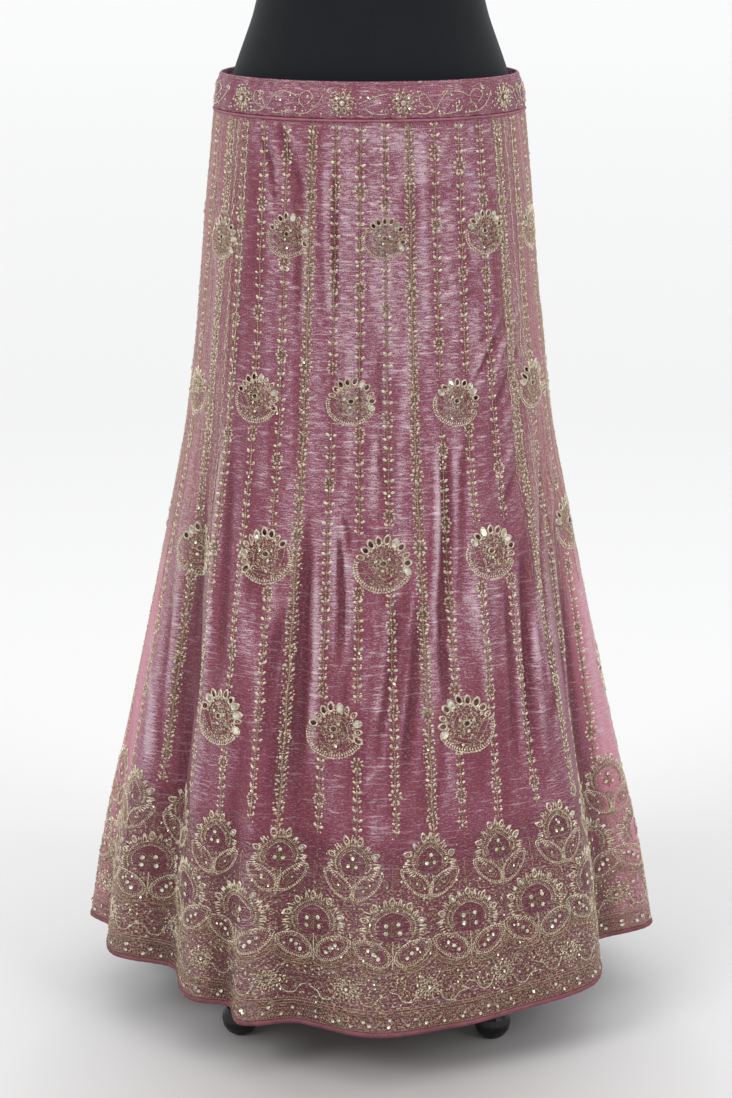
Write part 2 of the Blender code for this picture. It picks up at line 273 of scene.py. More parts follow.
def near_line(points, width, fade):
    """Which part of the grid a line of points reaches, and how strongly."""
    pts = np.array(points, float)
    tm, zm = pts[:, 0].mean(), pts[:, 1].mean()
    r = float(ring_scale(tm, zm))
    reach = 3.2 * width
    c0, c1 = np.searchsorted(T, (pts[:, 0].min() - reach / r, pts[:, 0].max() + reach / r))
    if c1 <= c0:
        return None
    rows = np.where((ZG[c0:c1].min(0) < pts[:, 1].max() + reach)
                    & (ZG[c0:c1].max(0) > pts[:, 1].min() - reach))[0]
    if not len(rows):
        return None
    r0, r1 = rows[0], rows[-1] + 1
    u = (TG[c0:c1, r0:r1] - tm) * r
    z = ZG[c0:c1, r0:r1]
    pu, pz = (pts[:, 0] - tm) * r, pts[:, 1]
    seg = np.hypot(np.diff(pu), np.diff(pz))
    run = np.concatenate(([0.0], np.cumsum(seg)))
    best = np.full(u.shape, 1e9)
    along = np.zeros(u.shape)
    for k in range(len(seg)):
        if seg[k] < 1e-6:
            continue
        ex, ez = (pu[k + 1] - pu[k]) / seg[k], (pz[k + 1] - pz[k]) / seg[k]
        s = np.clip((u - pu[k]) * ex + (z - pz[k]) * ez, 0.0, seg[k])
        d = np.hypot(u - pu[k] - s * ex, z - pz[k] - s * ez)
        near = d < best
        best = np.where(near, d, best)
        along = np.where(near, run[k] + s, along)
    share = along / max(run[-1], 1e-6)
    ends = smooth(share / fade) * smooth((1.0 - share) / fade)
    return slice(c0, c1), slice(r0, r1), best / width, ends


def crease(points, rise, width, fade=0.25, painted_light=0.0):
    hit = near_line(points, width / 1000.0, fade)
    if hit is not None:
        c, r, d, ends = hit
        w = np.exp(-d ** 2) * ends
        D[c, r] += rise / 1000.0 * w
        # a crease may also carry a painted highlight along its line
        if painted_light:
            PAINTED_LIGHT_SHADE[c, r] += painted_light * w


def paint_light_or_shade(points, amount, width, fade=0.2):
    """Painted highlight (+) or painted shade (-) in a band along a line of points."""
    hit = near_line(points, width / 1000.0, fade)
    if hit is not None:
        c, r, d, ends = hit
        PAINTED_LIGHT_SHADE[c, r] += amount * np.exp(-d ** 4) * ends


# x, y pairs in the 732 x 1098 frame
FRONT_CREASES = (
    # left: light ridge and the deep fold beside it
    (((226, 400), (216, 520), (207, 640), (202, 760)), 3.0, 4.5),
    (((206, 470), (199, 600), (196, 740)), -4.0, 9.0),
    (((194, 690), (184, 770), (178, 842)), -4.6, 8.0),
    (((545, 650), (552, 692), (557, 740)), 1.8, 2.2),
    (((370, 607), (378, 634), (370, 662)), 1.3, 2.2),
    (((436, 500), (437, 560)), 1.6, 2.2),
    (((186, 520), (172, 640), (160, 760)), 2.6, 7.0),
    (((178, 560), (163, 700), (150, 800)), -2.4, 7.0),
    (((232, 430), (226, 560), (218, 700)), -2.0, 8.0),
    (((243, 520), (238, 640), (233, 800)), 1.8, 7.0),
    # ridge and broad dark trough by the left front seam
    (((292, 580), (284, 640), (272, 735), (260, 815)), 2.2, 2.3),
    (((309, 500), (303, 600), (295, 720), (290, 815)), -5.4, 9.5),
    (((283, 590), (268, 690), (258, 790)), -3.2, 7.0),
    (((318, 540), (316, 640), (312, 790)), 3.0, 6.5),
    # short dark crease
    (((338, 520), (342, 610), (337, 668)), -3.2, 4.4),
    (((349, 540), (352, 640), (345, 740)), 1.8, 6.0),
    (((357, 610), (348, 700), (340, 770)), -1.8, 5.5),
    # middle
    (((415, 590), (406, 640), (394, 690), (380, 770)), 2.2, 2.3),
    (((399, 580), (390, 680), (372, 790)), -3.8, 8.0),
    (((421, 600), (414, 700), (402, 800)), -4.0, 7.0),
    (((372, 600), (362, 700), (352, 800)), 2.0, 7.5),
    (((436, 415), (437, 520), (433, 610), (442, 668)), 2.8, 4.2),
    (((445, 420), (448, 540), (443, 640), (450, 760)), -4.4, 8.0),
    (((429, 700), (432, 770), (428, 825)), 2.4, 5.0),
    # right
    (((474, 560), (480, 660), (486, 790)), 3.4, 12.0),
    (((466, 420), (462, 520), (458, 640)), -2.2, 7.0),
    (((505, 560), (512, 660), (517, 790)), -2.6, 7.0),
    (((520, 520), (526, 640), (533, 780)), -4.2, 7.0),
    (((532, 600), (539, 700), (546, 800)), 3.0, 5.5),
    (((548, 410), (550, 540), (561, 640), (572, 760)), 3.4, 4.4),
    (((541, 430), (543, 560), (551, 680)), -3.0, 6.0),
    (((558, 560), (571, 680), (584, 800)), -2.2, 6.5),
    (((533, 415), (534, 480)), 1.6, 3.6),
    (((575, 560), (592, 680), (606, 800)), 1.8, 8.0),
    # upper part: long soft verticals beside the seams
    (((325, 150), (326, 240), (330, 340)), 1.9, 4.5),
    (((334, 150), (334, 240), (338, 330)), -1.5, 4.5),
    (((300, 140), (298, 240), (295, 360)), -1.3, 6.0),
    (((421, 140), (424, 240), (428, 360)), 1.5, 7.0),
    (((352, 300), (350, 420), (348, 520)), 1.3, 7.0),
    (((380, 330), (381, 450), (383, 520)), -1.2, 6.0),
    (((406, 330), (405, 440), (402, 540)), 1.4, 8.0),
    # pulls that fan down from the waist seam at the left
    (((258, 122), (270, 165), (276, 215)), -1.4, 5.0),
    (((276, 122), (290, 160), (304, 200)), -1.3, 5.0),
    (((283, 120), (300, 150)), 1.1, 4.0),
    # diagonal drag lines at the right hip
    (((520, 300), (503, 345), (485, 392)), 1.9, 4.2),
    (((527, 320), (510, 372), (488, 420)), -1.9, 4.8),
    (((533, 345), (516, 400), (494, 446)), 1.9, 4.4),
    (((506, 300), (490, 338), (474, 372)), 1.4, 4.0),
    (((500, 330), (484, 366), (470, 392)), -1.4, 4.0),
    (((517, 430), (500, 470), (489, 500)), 1.6, 4.4),
    (((528, 440), (512, 486), (500, 520)), -1.7, 4.6),
    (((470, 252), (446, 262), (424, 268)), 1.1, 3.4),
    (((478, 268), (452, 279), (428, 284)), 1.1, 3.4),
    (((474, 288), (450, 297), (430, 300)), 1.1, 3.4),
    (((444, 640), (452, 655), (456, 664)), 1.6, 3.2),
    (((366, 788), (376, 772), (386, 766)), 1.4, 3.2),
    (((352, 806), (364, 786), (370, 772)), 1.4, 3.6),
    (((366, 530), (384, 524), (398, 530)), 1.5, 3.4),
    (((342, 512), (347, 530), (349, 560)), -1.6, 4.0),
)
for pts, rise, width in FRONT_CREASES:
    crease([at_px(x, y) for x, y in pts], rise * 1.35, width, 0.3)

# similar creases on the sides and the back, which the picture doesn't show
for k in range(60):
    tc = math.radians(rng.uniform(100.0, 262.0))
    if tc > math.radians(247.0):
        tc -= 2 * math.pi
    z1 = rng.uniform(0.45, 0.72)
    long = rng.uniform(0.14, 0.34)
    drift = math.radians(rng.uniform(-3.5, 3.5))
    crease([(tc, z1), (tc + drift * 0.4, z1 - long * 0.5), (tc + drift, z1 - long)],
           rng.choice((-1, 1)) * rng.uniform(1.8, 4.4), rng.uniform(4.2, 9.0), 0.3)
for k in range(26):
    tc = math.radians(rng.choice((rng.uniform(-110, -66), rng.uniform(72, 150), rng.uniform(150, 246))))
    z1 = rng.uniform(0.74, 1.05)
    long = rng.uniform(0.08, 0.2)
    crease([(tc, z1), (tc + math.radians(rng.uniform(-3, 3)), z1 - long)],
           rng.choice((-1, 1)) * rng.uniform(0.9, 1.8), rng.uniform(4.0, 7.0), 0.35)


# ---------------------------------------------------------------------
# Vines: 32 lines, one on each seam and three in each kali
# ---------------------------------------------------------------------
VINES = []      # (angle at the waist, angle at the hem, on a seam)
for name, left, right, lean in KALIS:
    VINES.append((left, left, True))
    for k in (1, 2, 3):
        w = left + (right - left) * k / 4.0
        VINES.append((w, w + lean * (0.6 + 0.4 * (2 - abs(k - 2)) / 2), False))


def vine_t(index, z):
    w, h, _ = VINES[index % len(VINES)]
    down = np.clip((Z_SEAM - z) / (Z_SEAM - 0.30), 0.0, 1.0)
    return np.radians(w + (h - w) * down) + (2 * math.pi if index >= len(VINES) else 0.0)


# fine puckers where the stitching draws the cloth up between two vines, each with a painted highlight along its ridge
for i in range(len(VINES)):
    z = Z_SEAM - rng.uniform(0.012, 0.02)
    tq = math.degrees(float(vine_t(i, z)))
    while z > 0.34:
        keep = 1.0 if z > 0.66 else max(0.0, (z - 0.34) / 0.32) * 0.6
        t0, t1 = float(vine_t(i, z)), float(vine_t(i + 1, z))
        span = t1 - t0
        if rng.random() < 0.30 + 0.60 * keep:
            a0 = t0 + span * rng.uniform(0.03, 0.35)
            a1 = t1 - span * rng.uniform(0.03, 0.35)
            tilt = rng.uniform(-0.06, 0.06) + (0.13 if 14 < tq < 50 and z > 0.76 else 0.0)
            r = float(ring_scale(0.5 * (t0 + t1), z))
            mid = 0.5 * (a0 + a1)
            lit = rng.uniform(0.10, 0.32) * keep
            crease([(a0, z), (mid, z + (tilt + rng.uniform(-0.03, 0.03)) * (mid - a0) * r), (a1, z + tilt * (a1 - a0) * r)],
                   rng.uniform(0.45, 1.0) * (0.5 + 0.5 * keep), rng.uniform(1.9, 2.7), 0.35, painted_light=lit)
        z -= rng.uniform(0.0070, 0.0125)

# painted highlight along bands where the folds face the light, and painted
# shade along bands that turn from it; x, y pairs in the picture, strength, half width in mm
PAINTED_LIGHT_BANDS = (
    (((350, 130), (352, 300), (348, 480)), 0.20, 22.0),
    (((346, 390), (343, 470)), -0.14, 6.0),
    (((382, 190), (384, 340), (384, 400)), 0.34, 13.0),
    (((412, 200), (413, 300), (414, 400)), 0.20, 12.0),
    (((440, 190), (446, 260), (450, 340)), 0.28, 16.0),
    (((338, 490), (340, 600), (342, 690)), 0.34, 9.0),
    (((322, 540), (322, 590), (321, 630)), -0.30, 6.0),
    (((374, 600), (368, 660), (360, 770)), -0.26, 12.0),
    (((396, 570), (394, 620), (390, 660)), 0.30, 7.0),
    (((250, 580), (248, 640), (246, 670)), 0.26, 9.0),
    (((250, 660), (246, 740), (240, 830)), -0.42, 9.0),
    (((238, 690), (232, 760)), -0.24, 6.0),
    (((224, 600), (218, 700), (212, 800)), 0.16, 9.0),
    (((287, 580), (284, 650), (274, 760), (268, 830)), -0.80, 8.5),
    (((329, 735), (326, 780), (322, 830)), 0.30, 13.0),
    (((444, 640), (448, 720), (450, 830)), 0.34, 11.0),
    (((388, 640), (372, 760), (368, 828)), 0.26, 9.0),
    (((492, 560), (490, 620), (489, 690)), 0.34, 10.0),
    (((490, 700), (489, 770)), -0.26, 6.0),
    (((502, 660), (504, 760), (506, 830)), -0.40, 7.0),
    (((528, 640), (532, 740)), 0.36, 6.0),
    (((551, 630), (553, 730)), -0.34, 5.0),
    (((470, 480), (468, 560), (470, 640)), 0.22, 12.0),
    (((214, 420), (208, 560), (200, 700)), 0.26, 6.0),
    (((312, 160), (310, 260), (308, 340)), 0.20, 9.0),
    (((268, 440), (262, 520), (256, 560)), 0.20, 9.0),
    (((527, 120), (533, 240), (540, 330)), 0.20, 8.0),
    (((405, 440), (402, 500), (396, 560)), 0.22, 9.0),
    (((234, 130), (233, 260), (232, 400)), -0.42, 10.0),
    (((256, 130), (258, 220), (252, 320)), -0.34, 12.0),
    (((276, 124), (292, 170), (300, 220)), -0.40, 8.0),
    (((325, 190), (326, 240), (328, 300)), -0.16, 5.0),
    (((300, 300), (299, 400), (300, 500)), -0.36, 8.0),
    (((306, 520), (299, 640), (290, 805)), -0.70, 8.5),
    (((273, 600), (264, 720), (255, 826)), -0.44, 9.0),
    (((340, 600), (341, 640), (337, 670)), -0.46, 4.0),
    (((408, 560), (402, 660), (386, 805)), -0.66, 6.0),
    (((420, 580), (414, 680), (402, 805)), -0.60, 6.5),
    (((446, 420), (449, 520), (444, 630)), -0.52, 7.0),
    (((523, 350), (526, 480), (530, 640)), -0.66, 9.0),
    (((494, 180), (500, 260), (503, 340)), -0.40, 10.0),
    (((542, 400), (546, 500), (554, 600)), -0.40, 5.0),
    (((200, 500), (192, 620), (184, 780)), -0.50, 13.0),
    (((190, 690), (184, 760), (180, 840)), -0.50, 10.0),
    (((191, 770), (188, 800), (182, 850)), -0.95, 9.0),
    (((236, 690), (232, 760)), -0.30, 7.0),
    (((382, 365), (382, 440)), 0.52, 6.0),
    (((566, 455), (569, 505)), 0.30, 6.0),
    (((288, 680), (280, 780), (276, 835)), -0.50, 7.0),
    (((442, 190), (444, 240)), 0.16, 14.0),
    (((299, 185), (300, 215)), 0.30, 5.0),
    (((298, 300), (300, 370)), 0.16, 7.0),
    (((256, 540), (254, 600)), -0.20, 9.0),
    (((548, 300), (553, 390)), 0.30, 5.0),
    (((274, 390), (272, 500)), -0.34, 6.0),
    (((256, 530), (254, 600)), -0.36, 9.0),
    (((388, 565), (386, 615)), -0.34, 6.0),
    (((310, 630), (308, 690)), -0.38, 5.0),
    (((202, 520), (199, 580)), -0.30, 6.0),
    (((418, 590), (430, 650)), -0.20, 7.0),
    (((442, 690), (444, 750)), -0.20, 6.0),
    (((334, 700), (330, 790)), -0.20, 6.0),
    (((250, 440), (250, 560), (244, 640)), -0.26, 9.0),
    (((284, 545), (283, 600)), -0.42, 9.0),
    (((238, 600), (232, 730)), -0.34, 8.0),
    (((206, 640), (204, 730)), -0.30, 7.0),
    (((552, 640), (556, 720)), -0.56, 6.0),
    (((284, 690), (272, 830)), -0.30, 7.0),
    (((298, 780), (296, 830)), -0.30, 6.0),
    (((254, 780), (250, 830)), -0.36, 7.0),
    (((550, 300), (556, 400), (561, 500)), 0.24, 6.0),
    (((218, 130), (214, 185)), 0.30, 8.0),
    (((334, 235), (336, 300), (336, 370)), 0.22, 7.0),
    (((470, 500), (468, 600)), -0.26, 8.0),
    (((430, 540), (430, 640)), -0.26, 7.0),
    (((358, 700), (360, 770), (362, 830)), -0.58, 9.0),
    (((376, 700), (374, 830)), -0.34, 8.0),
    (((442, 700), (443, 790)), -0.34, 6.0),
    (((574, 690), (582, 800)), -0.30, 7.0),
    (((136, 690), (128, 790)), -0.26, 6.0),
    (((214, 680), (210, 740)), -0.26, 8.0),
    (((154, 600), (150, 700), (152, 780)), 0.34, 8.0),
    (((408, 122), (412, 150), (415, 190)), 0.42, 18.0),
    (((266, 800), (260, 850)), -0.40, 12.0),
    (((240, 850), (232, 930), (226, 1010)), -0.95, 8.0),
    (((190, 780), (186, 850), (184, 920)), -0.85, 7.0),
    (((134, 770), (130, 880)), -0.60, 5.0),
    (((291, 940), (290, 1010)), -0.55, 9.0),
    (((358, 815), (356, 850)), -0.45, 12.0),
    (((406, 815), (404, 850)), -0.36, 6.0),
    (((430, 815), (430, 850)), -0.36, 6.0),
    (((502, 815), (504, 850)), -0.40, 8.0),
    (((442, 700), (444, 740)), -0.22, 7.0),
    (((262, 640), (260, 680)), -0.22, 6.0),
    (((238, 640), (236, 740)), -0.20, 7.0),
    (((382, 430), (382, 460)), 0.22, 6.0),
    (((551, 645), (554, 690)), -0.26, 5.0),
    (((538, 470), (540, 500)), -0.22, 6.0),
    (((382, 655), (380, 700)), -0.26, 7.0),
    (((440, 122), (442, 150), (446, 190)), 0.24, 12.0),
    (((350, 122), (351, 150)), 0.16, 30.0),
    (((388, 122), (388, 160)), 0.16, 20.0),
    (((328, 130), (334, 250), (334, 320)), 0.26, 7.0),
    (((217, 200), (215, 300), (212, 400)), 0.36, 7.0),
    (((472, 290), (477, 400)), 0.42, 8.0),
    (((548, 430), (553, 600)), 0.50, 5.0),
    (((380, 405), (378, 450), (371, 525)), 0.44, 8.0),
    (((406, 425), (406, 525)), -0.40, 6.0),
    (((262, 470), (262, 660)), -0.34, 7.0),
    (((430, 700), (431, 830)), -0.34, 7.0),
    (((572, 515), (580, 620)), 0.30, 7.0),
    (((398, 764), (394, 800), (388, 828)), -0.44, 7.0),
    (((476, 640), (480, 720), (482, 800)), -0.36, 6.0),
    (((357, 700), (350, 770), (346, 826)), -0.30, 6.0),
    (((535, 640), (541, 720), (548, 800)), -0.40, 6.0),
)
for pts, amount, width in PAINTED_LIGHT_BANDS:
    paint_light_or_shade([at_px(x, y) for x, y in pts], amount, width, 0.22)
# random painted highlight and painted shade bands on the sides and the back
for k in range(90):
    tc = math.radians(rng.uniform(96.0, 256.0))
    tc = (tc - T[0]) % (2 * math.pi) + T[0]
    z1 = rng.uniform(0.45, 1.04)
    long = rng.uniform(0.12, 0.38)
    drift = math.radians(rng.uniform(-3.0, 3.0))
    paint_light_or_shade([(tc, z1), (tc + drift * 0.4, z1 - long * 0.5), (tc + drift, z1 - long)],
           rng.choice((-0.5, -0.35, 0.3, 0.4)), rng.uniform(5.0, 18.0), 0.25)

# the cloth is drawn in a little along each line of stitching
for i in range(len(VINES)):
    zz = np.linspace(Z_SEAM - 0.004, 0.32, 24)
    crease([(float(vine_t(i, z)), float(z)) for z in zz], -0.55, 2.6, 0.04)

A_, B_ = half_width(ZG), half_depth(ZG)
_nx, _ny = B_ * np.sin(TG), -A_ * np.cos(TG)
_n = np.hypot(_nx, _ny)
P = BASE.copy()
P[..., 0] += D * _nx / _n
P[..., 1] += D * _ny / _n
N = grid_normals(P)
if N[len(T) // 3, NV // 2, 1] > 0:
    N = -N


def sample(t, z, h):
    """Points above the cloth at angle t and height z, h metres out."""
    t = (t - T[0]) % (2 * math.pi) + T[0]
    fi = np.interp(t, T, np.arange(len(T), dtype=float))
    low = hem_height(t) + 0.0012
    fj = np.clip((Z_SEAM - z) / (Z_SEAM - low), 0.0, 1.0) * NV
    i = np.clip(fi.astype(int), 0, len(T) - 2)
    j = np.clip(fj.astype(int), 0, NV - 1)
    a, b = (fi - i)[:, None], (fj - j)[:, None]

    def mix(g):
        return ((g[i, j] * (1 - a) + g[i + 1, j] * a) * (1 - b)
                + (g[i, j + 1] * (1 - a) + g[i + 1, j + 1] * a) * b)
    n = mix(N)
    n /= np.maximum(np.linalg.norm(n, axis=1, keepdims=True), 1e-9)
    return mix(P) + n * h[:, None]


# ------------------------------------------------------------- lotus places
# x, y of each lotus that shows, and its turn in degrees
LOTUS_PX = (
    ((222, 236), 10), ((287, 238), -4), ((384, 240), 4), ((484, 232), -6), ((529, 226), -10),
    ((197, 392), 12), ((255, 400), -6), ((350, 404), -8), ((456, 404), 6), ((531, 384), -14),
    ((197, 552), 10), ((267, 560), -10), ((383, 566), -8), ((492, 556), 4), ((568, 522), -16),
    ((219, 716), -4), ((333, 732), -8), ((468, 726), 4),
)
LOTUS = []
for (x, y), turn in LOTUS_PX:
    t, z = at_px(x, y)
    LOTUS.append((t, z, math.radians(turn)))
for name, left, right, lean in KALIS:
    hidden = left >= 99.0
    if not (hidden or name in ("kali_side_left", "kali_side_right")):
        continue
    for row, (z, f) in enumerate(((0.940, 0.62), (0.760, 0.40), (0.585, 0.64), (0.410, 0.38))):
        if not hidden:
            f = 0.20 if left < 0 else 0.80
        t = math.radians(left + (right - left) * f)
        if all(abs((t - a + math.pi) % (2 * math.pi) - math.pi) * 0.2 > 0.060 or abs(z - b) > 0.06 for a, b, _ in LOTUS):
            LOTUS.append((t, z + rng.uniform(-0.008, 0.008), math.radians(rng.uniform(-10, 10))))

# =====================================================================
# Materials
# =====================================================================
def lin(r, g, b):
    def one(c):
        c /= 255.0
        return c / 12.92 if c <= 0.04045 else ((c + 0.055) / 1.055) ** 2.4
    return (one(r), one(g), one(b), 1.0)


class Nodes:
    """Short helper for building node trees."""

    def __init__(self, name):
        self.mat = bpy.data.materials.new(name)
        self.mat.use_nodes = True
        self.tree = self.mat.node_tree
        self.bsdf = self.tree.nodes["Principled BSDF"]
        self.out = self.tree.nodes["Material Output"]

    def new(self, kind, **values):
        n = self.tree.nodes.new(kind)
        for k, v in values.items():
            setattr(n, k, v)
        return n

    def link(self, a, b):
        self.tree.links.new(a, b)

    def put(self, node, **inputs):
        for k, v in inputs.items():
            sock = node.inputs[k.replace("_", " ")] if k.replace("_", " ") in node.inputs else node.inputs[k]
            if hasattr(v, "is_output"):
                self.link(v, sock)
            else:
                sock.default_value = v
        return node

    def math(self, op, a, b=0.0, clamp=False):
        n = self.new("ShaderNodeMath", operation=op, use_clamp=clamp)
        for s, v in zip(n.inputs, (a, b)):
            if hasattr(v, "is_output"):
                self.link(v, s)
            else:
                s.default_value = v
        return n.outputs[0]

    def mix(self, fac, a, b, blend="MIX"):
        n = self.new("ShaderNodeMix", data_type="RGBA", blend_type=blend)
        for s, v in ((n.inputs[0], fac), (n.inputs[6], a), (n.inputs[7], b)):
            if hasattr(v, "is_output"):
                self.link(v, s)
            else:
                s.default_value = v
        return n.outputs[2]

    def ramp(self, fac, stops):
        n = self.new("ShaderNodeValToRGB")
        e = n.color_ramp.elements
        while len(e) > 1:
            e.remove(e[-1])
        e[0].position, e[0].color = stops[0]
        for pos, col in stops[1:]:
            x = e.new(pos)
            x.color = col
        self.link(fac, n.inputs[0])
        return n.outputs[0]

    def span(self, v, a, b, c=0.0, d=1.0):
        n = self.new("ShaderNodeMapRange", clamp=True)
        self.link(v, n.inputs[0])
        for s, x in zip(n.inputs[1:5], (a, b, c, d)):
            s.default_value = x
        return n.outputs[0]

    def noise(self, vector, scale, detail=2.0, rough=0.5, distort=0.0):
        n = self.new("ShaderNodeTexNoise")
        self.link(vector, n.inputs["Vector"])
        n.inputs["Scale"].default_value = scale
        n.inputs["Detail"].default_value = detail
        n.inputs["Roughness"].default_value = rough
        n.inputs["Distortion"].default_value = distort
        return n.outputs[0]

    def scaled(self, vector, x, y, z):
        n = self.new("ShaderNodeMapping")
        self.link(vector, n.inputs["Vector"])
        n.inputs["Scale"].default_value = (x, y, z)
        return n.outputs[0]


def tissue_material(name, with_attributes=True):
    """Rose silk crossed by a pale metal weft in short bright dashes: painted highlight
    (more dashes, lighter rose) where a fold faces the light, painted shade (smooth wine colour) where it turns away."""
    m = Nodes(name)
    uv = m.new("ShaderNodeUVMap", uv_map="cloth").outputs[0]
    dash = m.noise(m.scaled(uv, 95.0, 720.0, 1.0), 1.0, 2.0, 0.6)
    slub = m.noise(m.scaled(uv, 60.0, 330.0, 1.0), 1.0, 2.0, 0.55)
    grain = m.noise(m.scaled(uv, 560.0, 900.0, 1.0), 1.0, 2.0, 0.7)
    cloud = m.noise(m.scaled(uv, 30.0, 16.0, 1.0), 1.0, 3.0, 0.6)
    combo = m.math("ADD", m.math("MULTIPLY", dash, 0.40), m.math("MULTIPLY", slub, 0.18))
    combo = m.math("ADD", combo, m.math("MULTIPLY", grain, 0.42))
    if with_attributes:
        # thin carries painted side light; the next two carry painted shade with a darker ground, and the painted light
        # level
        thin = m.new("ShaderNodeAttribute", attribute_name="thin").outputs["Fac"]
        deep = m.new("ShaderNodeAttribute", attribute_name="deep").outputs["Fac"]
        silver = m.new("ShaderNodeAttribute", attribute_name="silver").outputs["Fac"]
        zari = m.new("ShaderNodeAttribute", attribute_name="zari").outputs["Fac"]
        rows = m.new("ShaderNodeAttribute", attribute_name="rows").outputs["Fac"]
    else:
        # without attributes the light level is a random cloud only
        silver = m.span(cloud, 0.30, 0.70, 0.26, 0.42)
    silver = m.math("ADD", silver, m.span(cloud, 0.2, 0.8, -0.10, 0.10), clamp=True)
    lift = m.math("ADD", combo, m.math("MULTIPLY", silver, 0.22))
    cover = m.span(lift, 0.59, 0.67)
    cover = m.math("MULTIPLY", cover, m.math("ADD", 0.30, m.math("MULTIPLY", silver, 0.44)), clamp=True)
    # short bright wrinkles that lie across the cloth, brighter under painted highlight
    fold = m.noise(m.scaled(uv, 44.0, 330.0, 1.0), 1.0, 1.5, 0.5, 0.35)
    wrinkle = m.math("MULTIPLY", m.span(fold, 0.605, 0.675), m.math("ADD", 0.18, m.math("MULTIPLY", silver, 0.75)))
    cover = m.math("ADD", cover, m.math("MULTIPLY", wrinkle, 0.78), clamp=True)
    # single weft threads as bright specks all over, more of them under painted highlight
    speck = m.noise(m.scaled(uv, 300.0, 1050.0, 1.0), 1.0, 1.0, 0.5)
    cover = m.math("ADD", cover, m.math("MULTIPLY", m.span(speck, 0.55, 0.66), m.span(silver, 0.0, 0.5, 0.20, 0.36)), clamp=True)
    # lighter rose as painted highlight, darker rose as painted shade
    rose = m.mix(m.math("MULTIPLY", silver, 0.8), ROSE_SHADED, ROSE_LIT)
    rose = m.mix(m.span(grain, 0.53, 0.38, 0.0, 0.55), rose, ROSE_DARK_AND_SHADED)
    if with_attributes:
        # painted fold shade with the border's darker ground, then painted side light
        rose = m.mix(m.math("MULTIPLY", deep, 0.8), rose, ROSE_DARK_AND_SHADED)
        rose = m.mix(m.math("MULTIPLY", thin, 0.80), rose, ROSE_SIDE_LIT)
    color = m.mix(cover, rose, SILVER_WEFT)
    if with_attributes:
        fleck = m.noise(m.scaled(uv, 430.0, 470.0, 1.0), 1.0, 1.5, 0.6)
        glint = m.noise(m.scaled(uv, 260.0, 300.0, 1.0), 1.0, 2.0, 0.6)
        stitched = m.span(m.math("ADD", fleck, m.math("MULTIPLY", zari, 0.13)), 0.55, 0.63)
        stitched = m.math("MULTIPLY", stitched, m.span(zari, 0.02, 0.20))
        line = m.noise(m.scaled(uv, 330.0, 9.0, 1.0), 1.0, 1.0, 0.5)
        line = m.math("MULTIPLY", m.span(line, 0.495, 0.575), m.span(fleck, 0.36, 0.50))
        short = m.noise(m.scaled(uv, 520.0, 150.0, 1.0), 1.0, 1.5, 0.55, 0.3)
        line = m.math("MAXIMUM", line, m.span(short, 0.53, 0.60, 0.0, 0.85))
        stitched = m.math("MAXIMUM", stitched, m.math("MULTIPLY", line, rows))
        # painted shade among the stitches
        shade = m.mix(m.math("MULTIPLY", zari, 0.80), color, lin(84, 34, 48))
        thread = m.mix(m.span(glint, 0.42, 0.62), lin(116, 92, 78), lin(196, 176, 152))
        # painted fold shade on the threads, then painted side light
        thread = m.mix(m.span(deep, 0.68, 1.0, 0.0, 0.62), thread, lin(86, 56, 54))
        thread = m.mix(m.math("MULTIPLY", thin, 0.42), thread, lin(214, 166, 172))
        color = m.mix(stitched, shade, thread)
    m.put(m.bsdf, Base_Color=color, Metallic=0.38)
    m.link(m.span(cover, 0.0, 0.8, 0.50, 0.38), m.bsdf.inputs["Roughness"])
    m.bsdf.inputs["Anisotropic"].default_value = 0.5
    tangent = m.new("ShaderNodeTangent", direction_type="RADIAL", axis="Z")
    m.link(tangent.outputs[0], m.bsdf.inputs["Tangent"])
    m.bsdf.inputs["Sheen Weight"].default_value = 0.22
    m.bsdf.inputs["Sheen Roughness"].default_value = 0.35
    m.bsdf.inputs["Sheen Tint"].default_value = lin(236, 205, 222)
    pucker = m.noise(m.scaled(uv, 48.0, 160.0, 1.0), 1.0, 2.0, 0.5)
    wave = m.math("ADD", m.math("MULTIPLY", pucker, 0.60), m.math("MULTIPLY", dash, 0.30))
    wave = m.math("ADD", wave, m.math("MULTIPLY", grain, 0.22))
    if with_attributes:
        wave = m.math("ADD", wave, m.math("MULTIPLY", stitched, 0.55))
    bump = m.new("ShaderNodeBump")
    wave = m.math("ADD", wave, m.math("MULTIPLY", wrinkle, 0.45))
    bump.inputs["Strength"].default_value = 0.65
    bump.inputs["Distance"].default_value = 0.0016
    m.link(wave, bump.inputs["Height"])
    m.link(bump.outputs[0], m.bsdf.inputs["Normal"])
    return m.mat


def binding_material(name, low, high):
    m = Nodes(name)
    co = m.new("ShaderNodeTexCoord").outputs["Object"]
    cloud = m.noise(co, 60.0, 3.0, 0.6)
    fib = m.noise(m.scaled(co, 900.0, 900.0, 1800.0), 1.0, 1.0, 0.5)
    color = m.mix(m.span(cloud, 0.35, 0.65), low, high)
    color = m.mix(m.math("MULTIPLY", m.span(fib, 0.45, 0.6), 0.24), color, lin(168, 128, 126))
    m.put(m.bsdf, Base_Color=color, Roughness=0.7)
    m.bsdf.inputs["Sheen Weight"].default_value = 0.06
    m.bsdf.inputs["Sheen Tint"].default_value = lin(240, 210, 220)
    bump = m.new("ShaderNodeBump")
    bump.inputs["Strength"].default_value = 0.35
    bump.inputs["Distance"].default_value = 0.0006
    m.link(fib, bump.inputs["Height"])
    m.link(bump.outputs[0], m.bsdf.inputs["Normal"])
    return m.mat


